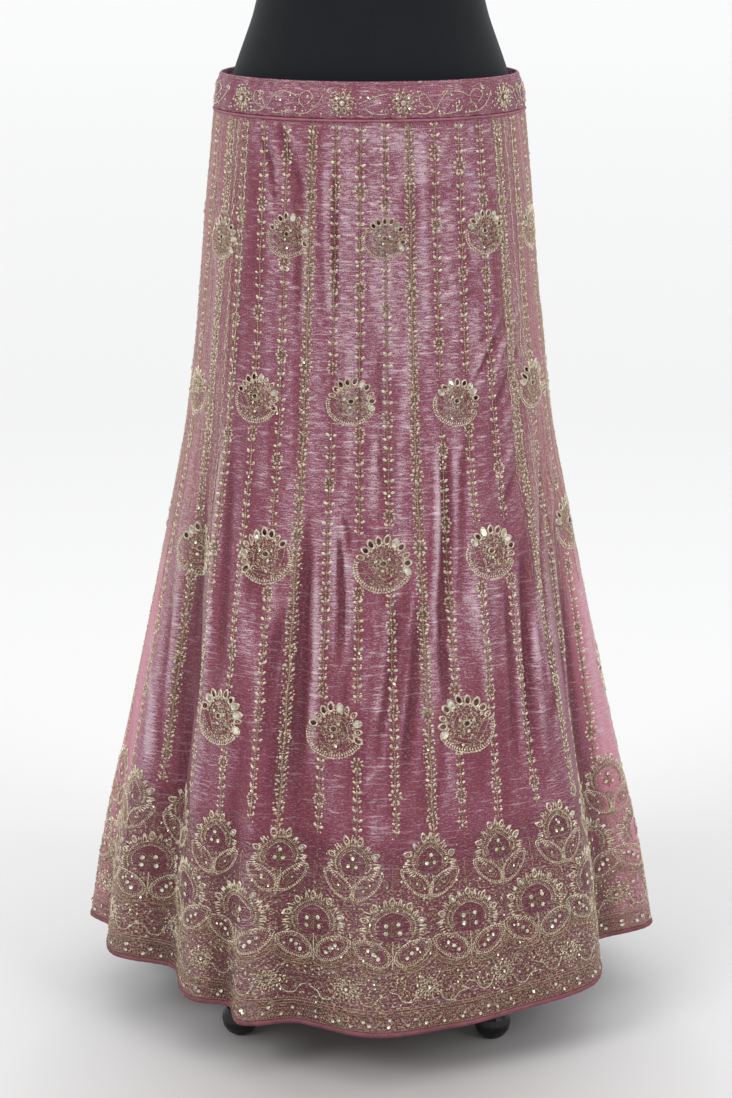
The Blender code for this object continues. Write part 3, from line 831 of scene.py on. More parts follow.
def zari_material(name, dark, light, metallic=0.62, rough=0.42):
    """Dull metal thread: khaki gold that varies from stitch to stitch."""
    m = Nodes(name)
    co = m.new("ShaderNodeTexCoord").outputs["Object"]
    spot = m.noise(co, 420.0, 2.0, 0.6)
    patch = m.noise(co, 38.0, 2.0, 0.5)
    twist = m.noise(co, 2600.0, 1.0, 0.5)
    color = m.mix(m.span(spot, 0.34, 0.66), dark, light)
    color = m.mix(m.math("MULTIPLY", m.span(patch, 0.4, 0.7), 0.3), color, lin(156, 132, 112))
    m.put(m.bsdf, Base_Color=color, Metallic=metallic, Roughness=rough)
    bump = m.new("ShaderNodeBump")
    bump.inputs["Strength"].default_value = 0.5
    bump.inputs["Distance"].default_value = 0.0004
    m.link(twist, bump.inputs["Height"])
    m.link(bump.outputs[0], m.bsdf.inputs["Normal"])
    return m.mat


def mirror_material(name, dark, light):
    m = Nodes(name)
    co = m.new("ShaderNodeTexCoord").outputs["Object"]
    spot = m.noise(co, 130.0, 1.0, 0.5)
    color = m.mix(m.span(spot, 0.40, 0.60), dark, light)
    m.put(m.bsdf, Base_Color=color, Metallic=1.0, Roughness=0.09)
    return m.mat


def sequin_material(name):
    m = Nodes(name)
    co = m.new("ShaderNodeTexCoord").outputs["Object"]
    spot = m.noise(co, 300.0, 1.0, 0.5)
    color = m.mix(m.span(spot, 0.40, 0.60), lin(176, 166, 142), lin(234, 228, 208))
    m.put(m.bsdf, Base_Color=color, Metallic=0.85, Roughness=0.22)
    return m.mat


def jersey_material(name):
    m = Nodes(name)
    co = m.new("ShaderNodeTexCoord").outputs["Object"]
    knit = m.noise(m.scaled(co, 900.0, 900.0, 1400.0), 1.0, 1.0, 0.5)
    cloud = m.noise(co, 9.0, 3.0, 0.6)
    lint = m.noise(co, 260.0, 2.0, 0.7)
    color = m.mix(m.span(cloud, 0.35, 0.65), lin(13, 16, 20), lin(17, 20, 24))
    color = m.mix(m.math("MULTIPLY", m.span(knit, 0.5, 0.75), 0.35), color, lin(28, 31, 36))
    color = m.mix(m.math("MULTIPLY", m.span(lint, 0.72, 0.80), 0.25), color, lin(60, 62, 68))
    m.put(m.bsdf, Base_Color=color, Roughness=0.88)
    m.bsdf.inputs["Specular IOR Level"].default_value = 0.22
    m.bsdf.inputs["Sheen Weight"].default_value = 0.12
    m.bsdf.inputs["Sheen Roughness"].default_value = 0.5
    bump = m.new("ShaderNodeBump")
    bump.inputs["Strength"].default_value = 0.3
    bump.inputs["Distance"].default_value = 0.0005
    m.link(knit, bump.inputs["Height"])
    m.link(bump.outputs[0], m.bsdf.inputs["Normal"])
    return m.mat


def painted_material(name, dark, light, rough, metallic):
    m = Nodes(name)
    co = m.new("ShaderNodeTexCoord").outputs["Object"]
    peel = m.noise(co, 700.0, 2.0, 0.5)
    wear = m.noise(co, 45.0, 4.0, 0.6)
    color = m.mix(m.span(wear, 0.35, 0.7), dark, light)
    m.put(m.bsdf, Base_Color=color, Metallic=metallic)
    m.link(m.span(wear, 0.3, 0.7, rough - 0.06, rough + 0.1), m.bsdf.inputs["Roughness"])
    bump = m.new("ShaderNodeBump")
    bump.inputs["Strength"].default_value = 0.12
    bump.inputs["Distance"].default_value = 0.0003
    m.link(peel, bump.inputs["Height"])
    m.link(bump.outputs[0], m.bsdf.inputs["Normal"])
    return m.mat


# rose for painted shade and painted highlight, a darker rose for random grain, painted fold shade and the darker
# ground, a lighter rose for painted side light, and the weft colour, shown more under painted highlight
ROSE_SHADED = lin(123, 53, 71)
ROSE_LIT = lin(150, 94, 117)
ROSE_DARK_AND_SHADED = lin(88, 28, 42)
ROSE_SIDE_LIT = lin(206, 130, 148)
SILVER_WEFT = lin(200, 176, 184)
TISSUE = tissue_material("zari_tissue")
BAND_TISSUE = tissue_material("zari_tissue_band", with_attributes=False)
BIND = binding_material("plain_binding_cloth", lin(92, 34, 47), lin(118, 54, 68))
PIPE = binding_material("piping_cloth", lin(134, 66, 84), lin(160, 92, 110))
GOLD = zari_material("zari_thread", lin(128, 104, 84), lin(194, 172, 144), 0.50, 0.42)
OLIVE = zari_material("dull_zari_thread", lin(112, 86, 70), lin(168, 144, 118), 0.50, 0.46)
PALE = zari_material("pale_zari_thread", lin(162, 146, 122), lin(232, 222, 198), 0.45, 0.40)
MIRROR = mirror_material("mirror_glass", lin(158, 152, 144), lin(236, 236, 228))
# mirror glass darkened as a painted dark reflection; the round stones use it too
MIRROR_PAINTED_DARK = mirror_material("mirror_glass_painted_dark", lin(62, 34, 40), lin(118, 84, 88))
SEQUIN = sequin_material("silver_sequin")
JERSEY = jersey_material("black_jersey")
STAND = painted_material("black_powder_coat", lin(20, 20, 22), lin(30, 30, 32), 0.42, 0.5)
RUBBER = painted_material("black_foot", lin(14, 14, 14), lin(24, 24, 24), 0.36, 0.0)


# =====================================================================
# Mesh helpers
# =====================================================================
def new_object(name, verts, faces, materials, mat_index=None, smooth_shade=True):
    mesh = bpy.data.meshes.new(name)
    verts = np.asarray(verts, np.float32)
    faces = np.asarray(faces, np.int32)
    mesh.vertices.add(len(verts))
    mesh.vertices.foreach_set("co", verts.ravel())
    k = faces.shape[1]
    mesh.loops.add(faces.size)
    mesh.loops.foreach_set("vertex_index", faces.ravel())
    mesh.polygons.add(len(faces))
    mesh.polygons.foreach_set("loop_start", np.arange(0, faces.size, k, dtype=np.int32))
    for m in materials:
        mesh.materials.append(m)
    if mat_index is not None:
        mesh.polygons.foreach_set("material_index", np.asarray(mat_index, np.int32))
    mesh.polygons.foreach_set("use_smooth", np.full(len(faces), smooth_shade))
    mesh.update(calc_edges=True)
    mesh.validate()
    ob = bpy.data.objects.new(name, mesh)
    bpy.context.scene.collection.objects.link(ob)
    return ob


def grid_faces(nu, nv, flip=False):
    i, j = np.meshgrid(np.arange(nu - 1), np.arange(nv - 1), indexing="ij")
    a = (i * nv + j).ravel()
    quad = np.stack((a, a + 1, a + nv + 1, a + nv), 1)
    return quad[:, ::-1] if flip else quad


def grid_object(name, p, materials, uv=None, flip=False, attributes=None):
    nu, nv = p.shape[:2]
    ob = new_object(name, p.reshape(-1, 3), grid_faces(nu, nv, flip), materials)
    mesh = ob.data
    if uv is not None:
        layer = mesh.uv_layers.new(name="cloth")
        idx = np.empty(len(mesh.loops), np.int32)
        mesh.loops.foreach_get("vertex_index", idx)
        layer.data.foreach_set("uv", uv.reshape(-1, 2)[idx].astype(np.float32).ravel())
    for key, values in (attributes or {}).items():
        at = mesh.attributes.new(key, "FLOAT", "POINT")
        at.data.foreach_set("value", np.asarray(values, np.float32).ravel())
    return ob


# =====================================================================
# The kalis
# =====================================================================
off_all = fold_offset(TG, ZG) + D
# how far down in a fold a point lies, and how much it is a crest, from the
# cloth's own bend across the fold; used for painted shade in the folds and painted highlight on the crests
bend = np.zeros_like(off_all)
for w in (2, 4, 7, 11):
    left = np.roll(off_all, w, 0)
    right = np.roll(off_all, -w, 0)
    gap = (w * math.radians(STEP)) * RG
    bend += (left + right - 2 * off_all) / gap
SHADE_AND_DARK_GROUND = np.clip(bend * 0.55, 0.0, 1.0)
CREST = np.clip(-bend * 0.42 - 0.05, 0.0, 1.0)
_soft = 0.16 * np.sin(TG * 9.0 + 2.0 * np.sin(ZG * 7.0)) + 0.10 * np.sin(TG * 23.0 + 3.0 * np.sin(ZG * 5.0 + 1.0))
# painted light level: painted highlight on crests and light-facing bands, painted shade in the folds, and a slow random
# variation
PAINTED_LIGHT_AND_TONE = np.clip(0.32 - 0.10 * smooth((0.44 - ZG) / 0.10) + 0.85 * PAINTED_LIGHT_SHADE + 0.50 * CREST - 0.75 * SHADE_AND_DARK_GROUND + _soft * 0.5, 0.0, 1.0)
# more painted shade where the painted shade bands are
SHADE_AND_DARK_GROUND = np.clip(SHADE_AND_DARK_GROUND + np.maximum(0.0, -PAINTED_LIGHT_SHADE - 0.22) * 0.9, 0.0, 1.0)
deg = np.degrees(TG)
# painted side light: the flanks below the hips and an edge band at the sides are made lighter, less so under painted
# shade
side = smooth((np.abs(deg) - 66.0) / 14.0) * smooth((0.66 - ZG) / 0.16)
side = np.where(deg > 118.0, side * smooth((140.0 - deg) / 20.0), side)
side = np.where(deg > 140.0, 0.0, side)
edge = smooth((np.abs(deg) - 80.0) / 10.0) * (np.abs(deg) < 112.0) * smooth((1.04 - ZG) / 0.1) * 0.35
PAINTED_SIDE_LIGHT = np.clip(side * (1.0 - 0.8 * SHADE_AND_DARK_GROUND) + edge, 0.0, 1.0)
UV = np.stack(((TG * 0.24), ZG), -1)

N_ARCH = 22
UPPER_AT, LOWER_AT = -3.5, 4.6      # degrees of the first motif of each border row
UPPER_UP, LOWER_UP = 0.182, 0.111   # their heights above the hem


def from_motif(t, up, first, height):
    """Metres right of and below the nearest motif of a border row."""
    pitch = 2 * math.pi / N_ARCH
    du = ((t - math.radians(first) + pitch / 2) % pitch - pitch / 2) * ring_scale(t, 0.22)
    return du, height - up


def stitched_share(t, z):
    up = z - hem_height(t)
    ux, uy = from_motif(t, up, UPPER_AT, UPPER_UP)
    lx, ly = from_motif(t, up, LOWER_AT, LOWER_UP)
    share = np.interp(up, (0.006, 0.010, 0.024, 0.030, 0.080, 0.120, 0.150, 0.175, 0.205, 0.222),
                      (0.0, 0.55, 0.55, 0.36, 0.40, 0.32, 0.26, 0.12, 0.02, 0.0))
    # thick stitched bands round each arch
    for x, y, w, h, cy in ((ux, uy, 0.0155, 0.0142, -0.012), (lx, ly, 0.0210, 0.0172, -0.013)):
        r = np.hypot(x / w, (y - cy) / h)
        share = np.maximum(share, 0.55 * smooth((1.42 - r) / 0.12) * smooth((r - 1.0) / 0.10) * (y < 0.010))
        share = np.where((r < 1.0) & (y < 0.004), 0.05, share)
    # leaves: a stitched edge, open cloth inside
    for s in (-1, 1):
        for x, y, cx, cy, rx, ry in ((ux, uy, 0.0150, 0.0130, 0.0190, 0.0092), (lx, ly, 0.0215, 0.0170, 0.0200, 0.0118)):
            tilt = (-0.72 if cx < 0.02 else -0.48) * s
            a, b = x - s * cx, y - cy
            p = a * math.cos(tilt) + b * math.sin(tilt)
            q_ = -a * math.sin(tilt) + b * math.cos(tilt)
            r = np.hypot(p / rx, q_ / ry)
            share = np.where(r < 1.16, 0.22 * smooth((r - 0.80) / 0.12) + 0.03, share)
            share = np.where(r < 0.40, 0.34, share)
    # the domes of the scattered lotuses are filled too
    for a, b, _ in LOTUS:
        du = ((t - a + math.pi) % (2 * math.pi) - math.pi) * ring_scale(t, b)
        r = np.hypot((du - 0.002) / 0.0175, (z - b) / 0.0160)
        share = np.maximum(share, 0.12 * smooth((1.05 - r) / 0.45))
    # the seam vines carry a close filling of their own
    for i in range(len(VINES)):
        if VINES[i][2]:
            du = ((t - vine_t(i, z) + math.pi) % (2 * math.pi) - math.pi) * ring_scale(t, z)
            share = np.maximum(share, 0.16 * smooth((0.0070 - np.abs(du)) / 0.003) * (up > 0.24))
    return share


ZARI = stitched_share(TG, ZG)
ROWS = (smooth((np.abs(deg) - 46.0) / 6.0) * smooth((102.0 - np.abs(deg)) / 10.0)
        * smooth((ZG - 0.42) / 0.20) * (0.80 + 0.20 * np.sin(TG * 57.0)))
_up = ZG - hem_height(TG)
# the border band: less painted highlight and a darker ground
PAINTED_LIGHT_AND_TONE *= 1.0 - 0.30 * smooth((0.232 - _up) / 0.03)
SHADE_AND_DARK_GROUND = np.clip(SHADE_AND_DARK_GROUND + 0.62 * smooth((0.232 - _up) / 0.03), 0.0, 1.0)
# a darker ground round each lotus
for a, b, _ in LOTUS:
    grown = float(np.interp(b, (0.42, 0.62, 0.76, 0.94), (1.24, 1.20, 1.04, 0.94)))
    du = ((TG - a + math.pi) % (2 * math.pi) - math.pi) * ring_scale(TG, ZG)
    SHADE_AND_DARK_GROUND = np.clip(SHADE_AND_DARK_GROUND + 0.42 * smooth((0.0200 * grown - np.hypot(du, ZG - b)) / 0.005), 0.0, 1.0)
PAINTED_LIGHT_AND_TONE *= 1.0 - 0.20 * ROWS
# more painted side light over the flanks
_painted_flank_light = smooth((np.abs(deg) - 46.0) / 34.0) * smooth((124.0 - np.abs(deg)) / 34.0) * smooth((ZG - 0.50) / 0.16)
PAINTED_SIDE_LIGHT = np.clip(np.maximum(PAINTED_SIDE_LIGHT, 0.56 * _painted_flank_light) + 0.08 * ROWS, 0.0, 1.0)
# a darker ground inside each arch of the border
for first, up, w, h, cy in ((UPPER_AT, UPPER_UP, 0.0155, 0.0142, -0.012), (LOWER_AT, LOWER_UP, 0.0210, 0.0172, -0.013)):
    x, y = from_motif(TG, _up, first, up)
    SHADE_AND_DARK_GROUND = np.clip(SHADE_AND_DARK_GROUND + 0.55 * smooth((1.02 - np.hypot(x / w, (y - cy) / h)) / 0.12) * (y < 0.006), 0.0, 1.0)

cloth_pieces = []
for k, (name, left, right, lean) in enumerate(KALIS):
    a, b = SEAM_INDEX[k], SEAM_INDEX[k + 1] + 1
    ob = grid_object(name + "_cloth", P[a:b], [TISSUE], UV[a:b], flip=False,
                     attributes={"deep": SHADE_AND_DARK_GROUND[a:b], "silver": PAINTED_LIGHT_AND_TONE[a:b], "thin": PAINTED_SIDE_LIGHT[a:b], "zari": ZARI[a:b],
                                 "rows": ROWS[a:b]})
    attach(ob, "root")
    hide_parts(name)
    cloth_pieces.append((ob, name, a, b))


# ---------------------------------------------------------------------
# waistband, piping and bound hem as closed thin walls
# ---------------------------------------------------------------------
def band_top(t):
    return Z_BAND_TOP + BAND_RISE * np.maximum(0.0, np.cos(t)) ** 0.5


def band_wave(t, z):
    """The band ripples a little between its lines of stitching."""
    return (0.00045 * np.sin(t * 23.0 + 1.3) * np.sin((z - 1.06) * 70.0)
            + 0.00035 * np.sin(t * 41.0 + 0.4 + (z - 1.08) * 60.0))


def band_lean(t, z):
    """The band's upper edge turns in towards the form, least at the front."""
    side = smooth((1.0 - np.cos(t)) / 0.85 - 0.12)
    return -0.0025 * side * smooth((z - 1.079) / 0.026)


def wrap_section(name, degrees0, degrees1, step, section, materials, closed_loop=False, uv=True):
    """Sweeps a closed section of (out, z function) round the skirt."""
    n = int(round((degrees1 - degrees0) / step))
    t = np.radians(np.linspace(degrees0, degrees1, n + 1))
    if closed_loop:
        t = t[:-1]
    rows = []
    for out, zf in section:
        z = zf(t)
        q = surface(t, z)
        # outward level normal of the folded cloth
        e = 0.004
        d = surface(t + e, z) - surface(t - e, z)
        nx, ny = d[:, 1], -d[:, 0]
        m = np.hypot(nx, ny)
        nx, ny = nx / m, ny / m
        sgn = np.sign(nx * np.sin(t) - ny * np.cos(t))
        o = out(t, z) if callable(out) else out
        q[:, 0] += nx * sgn * o
        q[:, 1] += ny * sgn * o
        rows.append(q)
    p = np.stack(rows, 1)
    m = len(section)
    nu = len(t)
    i = np.arange(nu if closed_loop else nu - 1)
    faces = []
    for k in range(m):
        k2 = (k + 1) % m
        j = (i + 1) % nu
        faces.append(np.stack((i * m + k, i * m + k2, j * m + k2, j * m + k), 1))
    faces = np.concatenate(faces)
    ob = new_object(name, p.reshape(-1, 3), faces, materials)
    if not closed_loop:
        bm = bmesh.new()
        bm.from_mesh(ob.data)
        bmesh.ops.holes_fill(bm, edges=[e for e in bm.edges if e.is_boundary], sides=0)
        bm.to_mesh(ob.data)
        bm.free()
    bm = bmesh.new()
    bm.from_mesh(ob.data)
    bmesh.ops.recalc_face_normals(bm, faces=bm.faces[:])
    bm.to_mesh(ob.data)
    bm.free()
    if uv:
        layer = ob.data.uv_layers.new(name="cloth")
        idx = np.empty(len(ob.data.loops), np.int32)
        ob.data.loops.foreach_get("vertex_index", idx)
        flat = np.stack((np.repeat(t, m) * 0.24, p.reshape(-1, 3)[:, 2]), 1)
        layer.data.foreach_set("uv", flat[idx].astype(np.float32).ravel())
    return ob


BAND_LOW = Z_SEAM + PIPING + 2 * GAP


def band_level(share):
    return lambda t: BAND_LOW + (band_top(t) - BAND_LOW) * share


def band_out(base):
    return lambda t, z: base + band_wave(t, z) + band_lean(t, z)


BAND_SECTION = [
    (band_out(0.0006), band_level(0.0)),
    (band_out(0.0013), band_level(0.045)),
    (band_out(0.0016), band_level(0.30)),
    (band_out(0.0017), band_level(0.55)),
    (band_out(0.0016), band_level(0.80)),
    (band_out(0.0011), band_level(0.905)),
    (band_out(0.0017), band_level(0.945)),
    (band_out(0.0014), band_level(0.985)),
    (band_out(0.0004), band_level(1.0)),
    (band_out(-0.0010), band_level(0.985)),
    (band_out(-0.0012), band_level(0.50)),
    (band_out(-0.0012), band_level(0.0)),
]
for name, a, b in (("waistband_front", -112.0, 100.0), ("waistband_back", 100.0, 248.0)):
    ob = wrap_section(name + "_cloth", a + 0.05, b - 0.05, 0.8, BAND_SECTION, [BAND_TISSUE])
    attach(ob, "root")
    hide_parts(name)

PIPE_SECTION = []
for k in range(8):
    ang = 2 * math.pi * k / 8
    PIPE_SECTION.append((0.0006 + 0.0017 * math.cos(ang),
                         (lambda s: (lambda t: np.full(t.shape, Z_SEAM + GAP + PIPING * (0.5 + 0.5 * s))))(math.sin(ang))))
piping = wrap_section("waist_piping_cloth", -112.0, 248.0, 1.0, PIPE_SECTION, [PIPE], closed_loop=True, uv=False)
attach(piping, "root")
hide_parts("waist_piping")


def hem_level(share, extra=0.0):
    return lambda t: hem_height(t) + BINDING * share + extra


def hem_roll(base):
    return lambda t, z: base + 0.0002 * np.sin(t * 210.0) + 0.00015 * np.sin(t * 87.0 + 1.0)


HEM_SECTION = [
    (hem_roll(-0.0012), hem_level(0.86)),
    (hem_roll(0.0006), hem_level(0.88)),
    (hem_roll(0.0016), hem_level(0.72)),
    (hem_roll(0.0020), hem_level(0.45)),
    (hem_roll(0.0015), hem_level(0.12)),
    (hem_roll(0.0000), hem_level(-0.06)),
    (hem_roll(-0.0018), hem_level(0.12)),
    (hem_roll(-0.0022), hem_level(0.55)),
]
for name, a, b in (("hem_binding_front", -112.0, 100.0), ("hem_binding_back", 100.0, 248.0)):
    ob = wrap_section(name + "_cloth", a, b, 0.4, HEM_SECTION, [BIND], uv=False)
    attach(ob, "root")
    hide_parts(name)


# =====================================================================
# Embroidery: small raised shapes stamped on the cloth
# =====================================================================
def fan(outline, centre):
    pts = [centre] + list(outline)
    n = len(outline)
    return np.array(pts, float), np.array([(0, 1 + k, 1 + (k + 1) % n) for k in range(n)])


def rim_shape(outline, inner, mid, outer, h_in, h_mid, h_out):
    """Raised ring of stitches round a mirror or an open loop."""
    n = len(outline)
    pts, tris = [], []
    for s, h in ((inner, h_in), (mid, h_mid), (outer, h_out)):
        for x, y in outline:
            pts.append((x * s, y * s, h))
    for r in range(2):
        for k in range(n):
            a, b = r * n + k, r * n + (k + 1) % n
            tris += [(a, a + n, b + n), (a, b + n, b)]
    return np.array(pts, float), np.array(tris)


_circle8 = [(math.cos(2 * math.pi * k / 8), math.sin(2 * math.pi * k / 8)) for k in range(8)]
_leaf = [(0.0, 0.0), (0.30, -0.42), (0.72, -0.44), (1.0, 0.0), (0.72, 0.44), (0.30, 0.42)]
_drop = [(math.cos(a) * (1.12 if math.cos(a) > 0.9 else 1.0), 0.56 * math.sin(a)) for a in
         [2 * math.pi * k / 10 for k in range(10)]]
SHAPES = {
    "link": fan([(-0.5, 0, 0.1), (0, -0.5, 0.0), (0.5, 0, 0.1), (0, 0.5, 0.0)], (0, 0, 1.0)),
    "olive": fan([(-0.5, 0, 0.1), (0, -0.5, 0.0), (0.5, 0, 0.1), (0, 0.5, 0.0)], (0, 0, 1.0)),
    "wire": fan([(-0.5, 0, 0.5), (0, -0.5, 0.2), (0.5, 0, 0.5), (0, 0.5, 0.2)], (0, 0, 1.0)),
    "leaf": fan([(x, y, 0.05) for x, y in _leaf], (0.55, 0.0, 1.0)),
    "disc": fan([(x, y, 1.0) for x, y in _circle8], (0, 0, 0.75)),
    "bead": fan([(x * 0.5, y * 0.5, 0.0) for x, y in _circle8[::2]], (0, 0, 1.0)),
    "light": fan([(x, y, 0.8) for x, y in _drop], (0, 0, 0.8)),
    "dark": fan([(x, y, 0.8) for x, y in _drop], (0, 0, 0.8)),
    "rim": rim_shape(_drop, 0.80, 1.12, 1.46, 0.7, 1.7, 0.0),
    "loop": rim_shape(_drop, 0.56, 0.80, 1.10, 0.0, 1.0, 0.0),
    "stone": fan([(x, y, 0.9) for x, y in _circle8], (0, 0, 0.9)),
    "stone_rim": rim_shape(_circle8, 0.90, 1.18, 1.50, 0.8, 1.7, 0.0),
}
MAT_OF = {"link": 0, "wire": 3, "olive": 5, "leaf": 3, "disc": 1, "bead": 3, "light": 2, "dark": 4, "rim": 3, "loop": 3,
          "stone": 4, "stone_rim": 3}
EMB_MATERIALS = [GOLD, SEQUIN, MIRROR, PALE, MIRROR_PAINTED_DARK, OLIVE]


class Stitches:
    """Stamps collected as rows of t, z, u, d, turn, length, width, height, tilt x, tilt y."""

    def __init__(self, sampler):
        self.rows = {}
        self.sampler = sampler

    def add(self, shape, t, z, u=0.0, d=0.0, turn=0.0, length=0.003, width=0.002, height=0.001, tx=0.0, ty=0.0):
        cols = np.broadcast_arrays(*[np.atleast_1d(np.asarray(c, float))
                                     for c in (t, z, u, d, turn, length, width, height, tx, ty)])
        self.rows.setdefault(shape, []).append(np.stack(cols, 1))

    def stamp(self, motif, t, z, turn=0.0, scale=1.0, flip=1.0):
        """Puts a motif, given in its own metres, at one place on the cloth."""
        c, s = math.cos(turn), math.sin(turn)
        for shape, r in motif.items():
            u, d = r[:, 0] * flip * scale, r[:, 1] * scale
            ang = r[:, 2] if flip > 0 else math.pi - r[:, 2]
            self.add(shape, t, z, u * c - d * s, u * s + d * c, ang + turn,
                     r[:, 3] * scale, r[:, 4] * scale, r[:, 5], r[:, 6], r[:, 7])

    def build(self, name, lift=0.0002):
        verts, faces, mats = [], [], []
        base = 0
        for shape, blocks in self.rows.items():
            r = np.concatenate(blocks)
            pts, tris = SHAPES[shape]
            k, n = len(r), len(pts)
            x = pts[None, :, 0] * r[:, 5:6]
            y = pts[None, :, 1] * r[:, 6:7]
            c, s = np.cos(r[:, 4:5]), np.sin(r[:, 4:5])
            u = x * c - y * s + r[:, 2:3]
            d = x * s + y * c + r[:, 3:4]
            h = pts[None, :, 2] * r[:, 7:8] + x * r[:, 8:9] + y * r[:, 9:10] + lift
            scale = ring_scale(r[:, 0], r[:, 1])[:, None]
            t = r[:, 0:1] + u / scale
            z = r[:, 1:2] - d
            verts.append(self.sampler(t.ravel(), z.ravel(), h.ravel()))
            f = (np.arange(k)[:, None, None] * n + tris[None]).reshape(-1, 3) + base
            faces.append(f[:, ::-1])
            mats.append(np.full(len(f), MAT_OF[shape]))
            base += k * n
        ob = new_object(name, np.concatenate(verts), np.concatenate(faces), EMB_MATERIALS, np.concatenate(mats),
                        smooth_shade=False)
        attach(ob, "root")
        print("stitches", name, len(ob.data.polygons))
        return ob


def through(pts, per):
    """Catmull-Rom curve through points."""
    p = np.vstack((2 * pts[0] - pts[1], pts, 2 * pts[-1] - pts[-2]))
    s = np.linspace(0, 1, per, endpoint=False)[:, None]
    out = []
    for k in range(1, len(p) - 2):
        a, b, c, d = p[k - 1], p[k], p[k + 1], p[k + 2]
        out.append(0.5 * ((2 * b) + (c - a) * s + (2 * a - 5 * b + 4 * c - d) * s ** 2 + (3 * b - a - 3 * c + d) * s ** 3))
    out.append(pts[-1][None])
    return np.vstack(out)


class Motif:
    """A motif in its own plane: u to the right and d down, in millimetres."""

    def __init__(self, seed):
        self.rng = np.random.default_rng(seed)
        self.rows = {}

    def add(self, shape, u, d, turn, length, width, height, tx=0.0, ty=0.0):
        cols = np.broadcast_arrays(*[np.atleast_1d(np.asarray(c, float))
                                     for c in (u, d, turn, length, width, height, tx, ty)])
        r = np.stack(cols, 1)
        r[:, [0, 1, 3, 4, 5]] /= 1000.0
        self.rows.setdefault(shape, []).append(r)

    def line(self, pts, width=1.5, height=0.9, step=2.4, shape="link", wobble=0.25):
        """A line of chain stitches along a smooth curve through the points."""
        pts = np.array(pts, float)
        if len(pts) > 2:
            pts = through(pts, 10)
        seg = np.hypot(*np.diff(pts, axis=0).T)
        run = np.concatenate(([0.0], np.cumsum(seg)))
        n = max(1, int(round(run[-1] / step)))
        s = (np.arange(n) + 0.5) * run[-1] / n
        u, d = np.interp(s, run, pts[:, 0]), np.interp(s, run, pts[:, 1])
        e = 0.4
        ang = np.arctan2(np.interp(s + e, run, pts[:, 1]) - np.interp(s - e, run, pts[:, 1]),
                         np.interp(s + e, run, pts[:, 0]) - np.interp(s - e, run, pts[:, 0]))
        j = self.rng.normal(0, wobble, (3, n))
        self.add(shape, u + j[0] * 0.5, d + j[1] * 0.5, ang + j[2] * 0.6,
                 run[-1] / n * 1.22, width * self.rng.uniform(0.8, 1.2, n), height * self.rng.uniform(0.7, 1.2, n))

    def scatter(self, count, u, d, ru, rd, tilt=0.0, long=2.3, wide=1.35, spin=3.2, direction=0.0, inner=0.0):
        """Small filling stitches inside an ellipse."""
        a = self.rng.uniform(0, 2 * math.pi, count)
        r = np.sqrt(self.rng.uniform(inner * inner, 1.0, count))
        x, y = ru * r * np.cos(a), rd * r * np.sin(a)
        c, s = math.cos(tilt), math.sin(tilt)
        which = self.rng.random(count) < 0.5
        turn = direction + self.rng.uniform(-spin / 2, spin / 2, count)
        for shape, k in (("link", which), ("olive", ~which)):
            self.add(shape, u + (x * c - y * s)[k], d + (x * s + y * c)[k], turn[k],
                     long * self.rng.uniform(0.75, 1.25, k.sum()), wide, 0.85)

    def hatch(self, at, a0, a1, step, f, length, width=1.35, shape="link"):
        """Stitches that stand across an outline like the rungs of a ladder."""
        a = np.radians(np.arange(a0, a1, step))
        p = np.array([at(x, f) for x in a])
        q = np.array([at(x, f + 0.05) for x in a])
        ang = np.arctan2(q[:, 1] - p[:, 1], q[:, 0] - p[:, 0]) + self.rng.normal(0, 0.16, len(a))
        self.add(shape, p[:, 0], p[:, 1], ang, length * self.rng.uniform(0.8, 1.2, len(a)), width,
                 self.rng.uniform(0.8, 1.15, len(a)))

    def done(self):
        return {k: np.concatenate(v) for k, v in self.rows.items()}


def arc(cx, cy, rx, ry, a0, a1, n=9, tilt=0.0):
    a = np.radians(np.linspace(a0, a1, n))
    c, s = math.cos(tilt), math.sin(tilt)
    return [(cx + rx * math.cos(x) * c - ry * math.sin(x) * s, cy + rx * math.cos(x) * s + ry * math.sin(x) * c) for x in a]


def sequin(m, u, d, r, tilt=0.24):
    m.add("disc", u, d, 0, r, r, 1.5, m.rng.uniform(-tilt, tilt), m.rng.uniform(-tilt, tilt))


def rosette(m, u, d, r, petals=8, bead=0.62, height=1.2):
    """Lacy flower: a ring of small heads, a finer ring inside and a bead."""
    ang = 2 * math.pi * np.arange(petals) / petals + m.rng.uniform(0, 0.6) + m.rng.normal(0, 0.07, petals)
    m.add("leaf", u + 0.56 * r * np.cos(ang), d + 0.56 * r * np.sin(ang), ang, 0.42 * r, bead * r * 4.4 / petals, height)
    m.add("olive", u + 0.42 * r * np.cos(ang + 0.3), d + 0.42 * r * np.sin(ang + 0.3), ang, 0.42 * r, 0.24 * r, height * 0.8)
    m.add("bead", u, d, 0.4, 0.42 * r, 0.42 * r, height * 1.3)


def mirror_petal(m, u, d, turn, length, width, dark):
    tx, ty = m.rng.uniform(-0.22, 0.22), m.rng.uniform(-0.22, 0.22)
    # a dark piece is mirror glass with a painted dark reflection
    m.add("dark" if dark else "light", u, d, turn, length * 0.35, width * 0.63, 0.9, tx, ty)
    m.add("rim", u, d, turn, length * 0.40, width * 0.70, 0.9, tx * 0.5, ty * 0.5)


def in_lens(x, y, x0, y0, x1, y1, wide):
    """Inside the pointed leaf between two points."""
    long = math.hypot(x1 - x0, y1 - y0)
    c, n = (x1 - x0) / long, (y1 - y0) / long
    p = ((x - x0) * c + (y - y0) * n) / long
    w = -(x - x0) * n + (y - y0) * c
    return (p > 0) & (p < 1) & (np.abs(w) < 2.0 * wide * np.clip(p * (1 - p), 0, 1))


